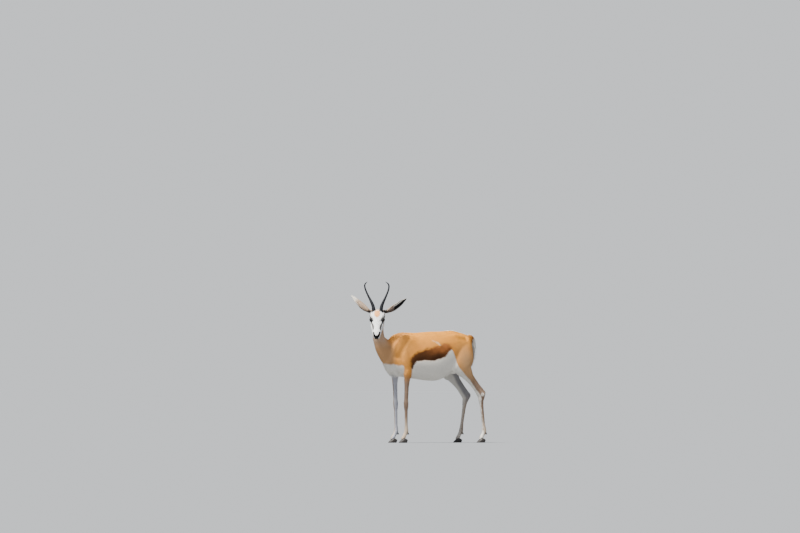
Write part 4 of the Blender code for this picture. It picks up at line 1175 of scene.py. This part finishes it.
def tuft_mesh(name, roots, length, width, lift, colours, rings=1, sway=0.20, droop=0.0):
    """Hair as plain meshes of limited size: each tuft a spindle that leaves the hide and bends along it."""
    rng = roots["rng"]
    count = len(length)
    turn = rng.normal(0, sway, count)[:, None]
    across = np.cross(roots["normal"], roots["way"])
    way = roots["way"] * np.cos(turn) + across * np.sin(turn)
    across = np.cross(roots["normal"], way)
    off = roots["normal"]
    size, half = length[:, None], np.broadcast_to(width, count)[:, None] / 2
    rise = (lift * rng.uniform(0.6, 1.4, count))[:, None]

    def along(share):
        hang = np.array((0.0, 0.0, -1.0)) * droop * share**2
        return roots["at"] + size * (way * share + off * rise * math.sin(1.9 * share) / 1.9 * 1.6 + hang)

    stations = [roots["at"] - 0.0008 * off]
    tones = [0.97]
    for ring in range(rings):
        share = 0.34 if rings == 1 else 0.12 + 0.66 * ring / (rings - 1)
        full = 1.0 if rings == 1 else math.sin(math.pi * (0.25 + 0.55 * ring / (rings - 1))) ** 0.7
        middle = along(share)
        aside = across * half * full
        stations += [middle + aside, middle + off * 0.36 * half * full, middle - aside]
        tones += [1.0 + 0.02 * share] * 3
    stations.append(along(1.0))
    tones.append(1.04)
    points = np.stack(stations, axis=1)
    per_tuft = points.shape[1]
    faces_of_one = tuft_faces(rings)
    tone = rng.normal(1.0, TONE_SPREAD, count)[:, None, None]
    shades = np.broadcast_to(colours, (count, 3))[:, None] * tone * np.array(tones)[None, :, None]
    shades = np.clip(shades, 0.002, 0.97)
    turns = np.linspace(0, 2 * math.pi, per_tuft, endpoint=False)
    patch = np.column_stack([np.cos(turns), np.sin(turns)]) * 0.0015
    made = []
    step = PIECE_TRIANGLES // len(faces_of_one)
    for start in range(0, count, step):
        part = slice(start, min(start + step, count))
        number = part.stop - part.start
        faces = (faces_of_one[None] + per_tuft * np.arange(number)[:, None, None]).reshape(-1)
        mesh = bpy.data.meshes.new(name)
        mesh.vertices.add(per_tuft * number)
        mesh.vertices.foreach_set("co", points[part].astype(np.float32).ravel())
        mesh.loops.add(len(faces))
        mesh.loops.foreach_set("vertex_index", faces.astype(np.int32))
        mesh.polygons.add(len(faces) // 3)
        mesh.polygons.foreach_set("loop_start", np.arange(0, len(faces), 3, dtype=np.int32))
        mesh.update(calc_edges=True)
        give_colour(mesh, shades[part].reshape(-1, 3))
        uv = (roots["uv"][part][:, None] + patch[None])[:, faces_of_one.ravel()]
        mesh.uv_layers.new(name="OFBake").data.foreach_set("uv", uv.astype(np.float32).ravel())
        mesh.shade_smooth()
        own = normals_of(mesh).reshape(number, per_tuft, 3)
        sleek = SLEEKNESS * roots["soft"][part][:, None] + (1 - SLEEKNESS) * own
        sleek /= np.linalg.norm(sleek, axis=2)[..., None]
        mesh.normals_split_custom_set_from_vertices(sleek.reshape(-1, 3))
        mesh.materials.append(short_hair)
        obj = linked(f"{name}_{start // step + 1}", mesh)
        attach(obj, "root")
        made.append(obj)
    return made


hair_length, hair_width = hair_size(skin_points)
place = in_head(skin_points)
mirrored = on_left(place)
bare = ramp(0.0016, 0.0006, rim_gap(place))
gap, _ = nearest_on(curve_through(NOSTRIL, 8), mirrored)
bare = np.maximum(bare, ramp(0.0040, 0.0026, gap))
nose_pad = np.hypot(mirrored[:, 1], 0.7 * (mirrored[:, 2] + 0.008))
bare = np.maximum(bare, ramp(0.012, 0.009, nose_pad) * (place[:, 0] > 0.228))
hoofed = ramp(0.034, 0.029, in_body(skin_points)[:, 2])
SHORT_TUFTS = 205_000
SHORT_LIFT = 0.06
roots = roots_on_skin((1 - bare) * (1 - hoofed) / (hair_length * hair_width), SHORT_TUFTS, 11)
length, width = hair_size(roots["at"])
length = length * roots["rng"].uniform(0.75, 1.25, SHORT_TUFTS)
colours = coat_colour(roots["at"], roots["soft"])
for piece in tuft_mesh("coat", roots, length, width, SHORT_LIFT, colours):
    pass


# The long hair of rump and tail.
# White hair fluffs out beside the tail and lies along the middle of the back as a closed fan; the tail
# carries longer hair that ends in a black tuft.
skin_body = in_body(skin_points)
rump_half = np.interp(skin_body[:, 2], (0.52, 0.58, 0.66, 0.695, 0.712), (0.0, 0.040, 0.048, 0.030, 0.0))
on_rump = ramp(0.004, -0.004, np.abs(skin_body[:, 1]) - rump_half) * ramp(0.28, 0.30, skin_body[:, 0])
on_rump = on_rump * ramp(0.1, 0.4, soft_normals[:, 0])
RUMP_TUFTS = 5200
RUMP_WIDTH = 0.0012
roots = roots_on_skin(on_rump, RUMP_TUFTS, 12)
spread = np.sign(roots["at"][:, 1] - body_shift.y) * 0.55
spread = np.column_stack([np.full(RUMP_TUFTS, 0.5), spread, np.full(RUMP_TUFTS, -1.0)])
roots["way"] = laid_flat(spread, roots["normal"])
height = in_body(roots["at"])[:, 2]
fluffed = ramp(0.57, 0.61, height) * ramp(0.69, 0.66, height) * (roots["rng"].random(RUMP_TUFTS) > 0.86)
length = roots["rng"].uniform(0.010, 0.018, RUMP_TUFTS) * (1 + 1.1 * fluffed)
lift = 0.22 + 0.45 * fluffed
rump = tuft_mesh("rump_hair", roots, length, RUMP_WIDTH, lift, WHITE_HAIR, rings=2, sway=0.35, droop=0.15)

on_fan = ramp(0.0065, 0.0045, np.abs(skin_body[:, 1])) * ramp(0.12, 0.16, skin_body[:, 0])
on_fan = on_fan * ramp(0.300, 0.285, skin_body[:, 0]) * ramp(0.2, 0.5, soft_normals[:, 2])
FAN_TUFTS = 1500
FAN_WIDTH = 0.0013
FAN_LIFT = 0.05
roots = roots_on_skin(on_fan, FAN_TUFTS, 13)
length = roots["rng"].uniform(0.022, 0.036, FAN_TUFTS)
fan = tuft_mesh("back_fan", roots, length, FAN_WIDTH, FAN_LIFT, WHITE_HAIR, rings=2, sway=0.08)

gap, tail_share = nearest_on(tail_path, skin_points)
on_tail = ramp(0.0125, 0.0105, gap) * ramp(0.26, 0.32, tail_share)
TAIL_TUFTS = 4200
TAIL_WIDTH = 0.0013
roots = roots_on_skin(on_tail * (1 + 2 * tail_share), TAIL_TUFTS, 14)
tail_at = nearest_on(tail_path, roots["at"])[1]
length = roots["rng"].uniform(0.8, 1.2, TAIL_TUFTS) * (0.012 + 0.024 * ramp(0.45, 0.9, tail_at))
lift = 0.14 - 0.04 * ramp(0.5, 1.0, tail_at)
colours = tail_colour(roots["at"])[0]
hair = tuft_mesh("tail_hair", roots, length, TAIL_WIDTH, lift, colours, rings=3, sway=0.25, droop=0.25)
for piece in rump + fan + hair:
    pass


# The eyes.
# Large, dark and moist globes, set well out to the sides, in sockets behind the lids. Each is a closed
# ball with a clear bulge in front, and its pupil is a level bar that hardly shows.
IRIS = paint(24, 15, 10)
PUPIL = paint(4, 4, 5)


def eyeball(side, word):
    centre = np.array(EYE_FROM_POLL) * (1, side, 1)
    nose, brow, out = eye_axes(side)
    turns = np.linspace(0, 2 * math.pi, 48, endpoint=False)
    tilts = np.linspace(0, math.pi, 33)[1:-1]
    ring = np.stack([np.outer(np.sin(tilts), np.cos(turns)), np.outer(np.sin(tilts), np.sin(turns))], -1)
    depth = np.repeat(np.cos(tilts)[:, None], len(turns), axis=1)
    bulge = 1 + 0.05 * ramp(0.86, 0.97, depth)
    ways = (ring[..., :1] * nose + ring[..., 1:] * brow + depth[..., None] * out) * bulge[..., None]
    points = np.vstack([ways.reshape(-1, 3), out * 1.05, -out]) * (EYE_RADIUS - 0.0002)
    along, rise = (points @ nose) / EYE_RADIUS, (points @ brow) / EYE_RADIUS
    reach = np.hypot(along, rise)
    colours = np.tile(IRIS, (len(points), 1)) * (1 - 0.75 * ramp(0.45, 0.85, reach))[:, None]
    colours = mixed(colours, PUPIL, ramp(1.15, 0.85, np.hypot(along / 0.50, rise / 0.26)))
    index, faces = ring_faces(len(tilts), len(turns))
    front, back = index.size, index.size + 1
    faces += [(front, int(b), int(a)) for a, b in zip(index[0], np.roll(index[0], -1))]
    faces += [(back, int(a), int(b)) for a, b in zip(index[-1], np.roll(index[-1], -1))]
    mesh = bpy.data.meshes.new(f"eyeball_{word}")
    mesh.from_pydata(from_head(points + centre).tolist(), [], faces)
    facing_out(mesh)
    give_colour(mesh, colours)
    mesh.shade_smooth()
    mesh.materials.append(moist_eye)
    obj = linked(f"eyeball_{word}", mesh)
    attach(obj, "root")
    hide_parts(f"eye_{word}")


box = PaintBox("moist eye")
tint = box.node("ShaderNodeAttribute", {"attribute_name": "coat"})[0]
shine = {"Specular_IOR_Level": 0.12, "Coat_Weight": 0.12, "Coat_Roughness": 0.04}
moist_eye = box.finish(Base_Color=tint, Roughness=0.24, **shine)
for side, word in ((1, "left"), (-1, "right")):
    eyeball(side, word)


# The horns.
# Hollow black horn on a bony core: slender, leaning back, ringed to about half way, then smooth, with
# the tips hooked in. A nodes tree sweeps one round section along each curve and swells it at the rings.
HORN_RISE = 0.2045
HORN_LEAN = 0.0100
HORN_RADIUS = 0.0119
HORN_ROOT = (0.026, 0.033)
HORN_ROWS = [
    (-0.05, 0.0240, -0.001, 1.00),
    (0.00, 0.0243, 0.000, 1.00),
    (0.18, 0.0299, 0.012, 0.88),
    (0.36, 0.0455, 0.028, 0.68),
    (0.47, 0.0566, 0.040, 0.58),
    (0.57, 0.0658, 0.050, 0.54),
    (0.67, 0.0745, 0.059, 0.50),
    (0.76, 0.0805, 0.066, 0.47),
    (0.84, 0.0833, 0.069, 0.44),
    (0.90, 0.0820, 0.069, 0.41),
    (0.95, 0.0755, 0.065, 0.33),
    (1.00, 0.0618, 0.056, 0.07),
]
HORN_INPUTS = {
    "Rings": 17.0,
    "Ringed Share": 0.60,
    "Ridge": 0.11,
    "Wave": 0.012,
    "Stations": 260,
    "Sides": 28,
}
HORN_WAVE_TURN = 61.0


def ringed_sweep(material):
    """The tree: path in, its points carrying a girth; closed ringed horn out."""
    tree = bpy.data.node_groups.new("ringed sweep", "GeometryNodeTree")
    tree.interface.new_socket("Path", in_out="INPUT", socket_type="NodeSocketGeometry")
    for name, value in HORN_INPUTS.items():
        kind = "NodeSocketInt" if isinstance(value, int) else "NodeSocketFloat"
        tree.interface.new_socket(name, in_out="INPUT", socket_type=kind)
    tree.interface.new_socket("Horn", in_out="OUTPUT", socket_type="NodeSocketGeometry")
    box = NodeBox(tree)
    path, rings, ringed_share, ridge, wave, stations, sides, *_ = box.node("NodeGroupInput")
    curve = box.node("GeometryNodeMeshToCurve", {}, {"Mesh": path})[0]
    curve = box.node("GeometryNodeResampleCurve", {}, {"Curve": curve, "Count": stations})[0]
    factor = box.node("GeometryNodeSplineParameter")[0]
    girth = box.node("GeometryNodeInputNamedAttribute", {"data_type": "FLOAT"}, {"Name": "girth"})[0]
    phase = factor * rings / ringed_share * math.pi
    crest = box.maths("ABSOLUTE", box.maths("SINE", phase)) ** 0.7
    fade = box.node(
        "ShaderNodeMapRange",
        {"interpolation_type": "SMOOTHSTEP"},
        {"Value": factor / ringed_share, "From Min": 0.55, "From Max": 1.1, "To Min": 1.0, "To Max": 0.0},
    )[0]
    swell = box.maths("SINE", factor * HORN_WAVE_TURN) * wave + 1.0
    radius = girth * (crest * fade * ridge + swell)
    section = box.node("GeometryNodeCurvePrimitiveCircle", {}, {"Resolution": sides, "Radius": 1.0})[0]
    sockets = {"Curve": curve, "Profile Curve": section, "Scale": radius, "Fill Caps": True}
    mesh = box.node("GeometryNodeCurveToMesh", {}, sockets)[0]
    mesh = box.node("GeometryNodeSetShadeSmooth", {}, {"Geometry": mesh})[0]
    mesh = box.node("GeometryNodeRealizeInstances", {}, {"Geometry": mesh})[0]
    mesh = box.node("GeometryNodeSetMaterial", {}, {"Geometry": mesh, "Material": material})[0]
    box.node("NodeGroupOutput", {}, {"Horn": mesh})
    return tree


def horn_path(side, word):
    """The horn's middle line as a mesh of edges whose points carry its radius."""
    root = from_head(np.array([(HORN_ROOT[0], 0.0, HORN_ROOT[1])]))[0]
    lateral = np.array(left_way) * side
    back = -np.array(face_ahead)
    rows = []
    for rise, offset, sweep, share in HORN_ROWS:
        lean = -np.array(left_way) * HORN_LEAN * max(rise, 0.0) ** 1.5
        point = root + np.array(up) * (HORN_RISE * rise) + lateral * offset + back * sweep + lean
        rows.append((*point, HORN_RADIUS * share))
    curve = curve_through(rows, 8)
    mesh = bpy.data.meshes.new(f"horn_sheath_{word}")
    mesh.from_pydata(curve[:, :3].tolist(), [(k, k + 1) for k in range(len(curve) - 1)], [])
    mesh.attributes.new("girth", "FLOAT", "POINT").data.foreach_set("value", curve[:, 3].astype(np.float32))
    return linked(f"horn_sheath_{word}", mesh)


box = PaintBox("black horn")
place = box.node("ShaderNodeTexCoord")[3]
stretch = box.node("ShaderNodeMapping", {}, {"Vector": place, "Scale": (420.0, 420.0, 60.0)})[0]
streaks = box.node("ShaderNodeTexNoise", {}, {"Vector": stretch, "Scale": 1.0, "Detail": 4.0})[0]
blotch = box.node("ShaderNodeTexNoise", {}, {"Vector": place, "Scale": 38.0, "Detail": 2.0})[0]
dark, pale = (0.0022, 0.0030, 0.0060, 1), (0.008, 0.009, 0.012, 1)
hue = box.node("ShaderNodeMix", {"data_type": "RGBA"}, {0: streaks * blotch * 1.6, 6: dark, 7: pale})[2]
relief = box.node("ShaderNodeBump", {}, {"Strength": 0.45, "Distance": 0.0007, "Height": streaks})[0]
dullness = 0.40 + 0.25 * blotch
black_horn = box.finish(Base_Color=hue, Roughness=dullness, Normal=relief, Specular_IOR_Level=0.14)
sweep_tree = ringed_sweep(black_horn)
for side, word in ((1, "left"), (-1, "right")):
    horn = horn_path(side, word)
    modifier = horn.modifiers.new("sweep", "NODES")
    modifier.node_group = sweep_tree
    for socket in sweep_tree.interface.items_tree:
        if socket.name in HORN_INPUTS:
            modifier[socket.identifier] = HORN_INPUTS[socket.name]
    baked(horn)
    facing_out(horn.data, weld=1e-6)
    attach(horn, "root")
    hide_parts(f"horn_{word}")


# The hooves.
# Each foot stands on two narrow pointed claws of dark horn, flat below, drawn as rings from toe to heel.
# The two small dewclaws behind keep the shape of the solids and take the same horn.
HOOF_LENGTH = 0.050
HOOF_HEIGHT = 0.030
HOOF_HALF_WIDTH = 0.0098
HOOF_SPACING = 0.0108
TOE_REACH = 0.031
TOE_SPREAD = 2.2
HOOF_SECTION = [
    (-1.00, 0.02),
    (-0.50, 0.0),
    (0.50, 0.0),
    (1.00, 0.02),
    (0.99, 0.30),
    (0.92, 0.65),
    (0.70, 0.92),
    (0.25, 1.0),
    (-0.30, 1.0),
    (-0.74, 0.92),
    (-0.95, 0.65),
    (-1.00, 0.30),
]
HOOF_ROWS = [
    (0.00, 0.10, 0.10),
    (0.05, 0.30, 0.20),
    (0.12, 0.50, 0.34),
    (0.30, 0.82, 0.66),
    (0.52, 1.00, 0.98),
    (0.78, 0.98, 0.94),
    (1.00, 0.62, 0.66),
]
CORONETS = {
    "foreleg_left": (-0.206, -0.070),
    "foreleg_right": (-0.222, 0.067),
    "hind_leg_left": (0.388, -0.070),
    "hind_leg_right": (0.273, 0.067),
}


def hoof_claw(name, toe, heading, inner):
    """One claw: rings from the toe to the heel, closed at both ends."""
    ahead = Vector(heading).normalized()
    outward = Vector((-ahead.y, ahead.x, 0)) * inner
    rings = []
    for share, wide, high in curve_through(HOOF_ROWS, 4):
        ring = []
        for across, tall in HOOF_SECTION:
            gone = HOOF_LENGTH * share + 0.008 * share * tall
            growth = 1 + 0.012 * math.sin(tall * 26)
            point = toe - ahead * gone + outward * (across * HOOF_HALF_WIDTH * wide * growth)
            ring.append(point + Vector((0, 0, tall * HOOF_HEIGHT * high)))
        rings.append([tuple(p) for p in ring])
    mesh = capped_rings(name, rings)
    mesh.shade_smooth()
    mesh.materials.append(dark_hoof)
    return linked(name, mesh)


box = PaintBox("hoof horn")
place = box.node("ShaderNodeTexCoord")[3]
stretch = box.node("ShaderNodeMapping", {}, {"Vector": place, "Scale": (160.0, 160.0, 700.0)})[0]
growth = box.node("ShaderNodeTexNoise", {}, {"Vector": stretch, "Scale": 1.0, "Detail": 3.0})[0]
dark, pale = (0.010, 0.009, 0.009, 1), (0.045, 0.037, 0.031, 1)
hue = box.node("ShaderNodeMix", {"data_type": "RGBA"}, {0: growth, 6: dark, 7: pale})[2]
relief = box.node("ShaderNodeBump", {}, {"Strength": 0.5, "Distance": 0.0006, "Height": growth})[0]
dark_hoof = box.finish(Base_Color=hue, Roughness=0.42 + 0.2 * growth, Normal=relief)
for leg, (x, y) in CORONETS.items():
    outside = -1 if leg.endswith("left") else 1
    for inner in (1, -1):
        place_word = "outer" if inner == -outside else "inner"
        offset = -inner * HOOF_SPACING
        toe = Vector((x - TOE_REACH, y + offset, 0.0)) + Vector((body_shift.x, body_shift.y, 0))
        claw = hoof_claw(f"claw_{leg}_{place_word}", toe, (-1.0, -offset * TOE_SPREAD, 0.0), inner)
        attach(claw, "root")
        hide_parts(f"hoof_{leg}_{place_word}")
        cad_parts[f"dewclaw_{leg}_{place_word}"].material_slots[0].material = dark_hoof


# Floor, light and camera.
# A plain pale floor under an even sky, with one soft high light as in the open at midday. In place of the
# sky the camera sees a plain backdrop, and the floor's tone is worked out to meet it without a line.
SUN_WAY = Vector((-0.44, -0.18, 1.0)).normalized()
SUN_STRENGTH = 10.5
SUN_SIZE = math.radians(14)
SUN_COLOUR = np.array((1.0, 0.97, 0.92))
SKY_STRENGTH = 0.50
SKY_COLOUR = np.array((0.88, 0.95, 1.08))
BACKDROP = 0.85 * np.array((0.97, 1.0, 1.03))
FLOOR_RADIUS = 900
FLOOR_SIDES = 96

sun_data = bpy.data.lights.new("high sun", "SUN")
sun_data.energy = SUN_STRENGTH
sun_data.color = SUN_COLOUR
sun_data.angle = SUN_SIZE
sun = linked("high sun", sun_data)
sun.rotation_euler = SUN_WAY.to_track_quat("Z", "Y").to_euler()

floor_tone = BACKDROP / (SUN_STRENGTH * SUN_COLOUR * SUN_WAY.z / math.pi + SKY_STRENGTH * SKY_COLOUR)
floor_mesh = bpy.data.meshes.new("floor")
turns = np.linspace(0, 2 * math.pi, FLOOR_SIDES, endpoint=False)
rim = np.column_stack([np.cos(turns), np.sin(turns), np.zeros(FLOOR_SIDES)])
floor_mesh.from_pydata((rim * FLOOR_RADIUS).tolist(), [], [tuple(range(FLOOR_SIDES))])
box = PaintBox("pale floor")
floor_mesh.materials.append(box.finish(Base_Color=(*floor_tone, 1), Roughness=1.0, Specular_IOR_Level=0.0))
floor = linked("floor", floor_mesh)

world = bpy.data.worlds.new("sky")
world.use_nodes = True
box = NodeBox(world.node_tree)
box.nodes.clear()
light = box.node("ShaderNodeBackground", {}, {"Color": (*SKY_COLOUR, 1), "Strength": SKY_STRENGTH})[0]
seen = box.node("ShaderNodeBackground", {}, {"Color": (*BACKDROP, 1)})[0]
from_camera = box.node("ShaderNodeLightPath")[0]
shown = box.node("ShaderNodeMixShader", {}, {0: from_camera, 1: light, 2: seen})[0]
box.node("ShaderNodeOutputWorld", {}, {"Surface": shown})
bpy.context.scene.world = world

CAMERA_PLACE = Vector((-26.07, -55.48, 0.37))
CAMERA_AZIMUTH = math.radians(-25)
CAMERA_TILT = math.radians(0.79)

camera_data = bpy.data.cameras.new("camera")
camera_data.lens = 400
camera_data.sensor_width = 36
camera_data.clip_end = 3000
camera = linked("camera", camera_data)
bpy.context.scene.camera = camera
back = Vector((math.sin(CAMERA_AZIMUTH), -math.cos(CAMERA_AZIMUTH), 0))
camera.location = CAMERA_PLACE + body_shift
forward = -back * math.cos(CAMERA_TILT) + up * math.sin(CAMERA_TILT)
camera.rotation_euler = forward.to_track_quat("-Z", "Y").to_euler()
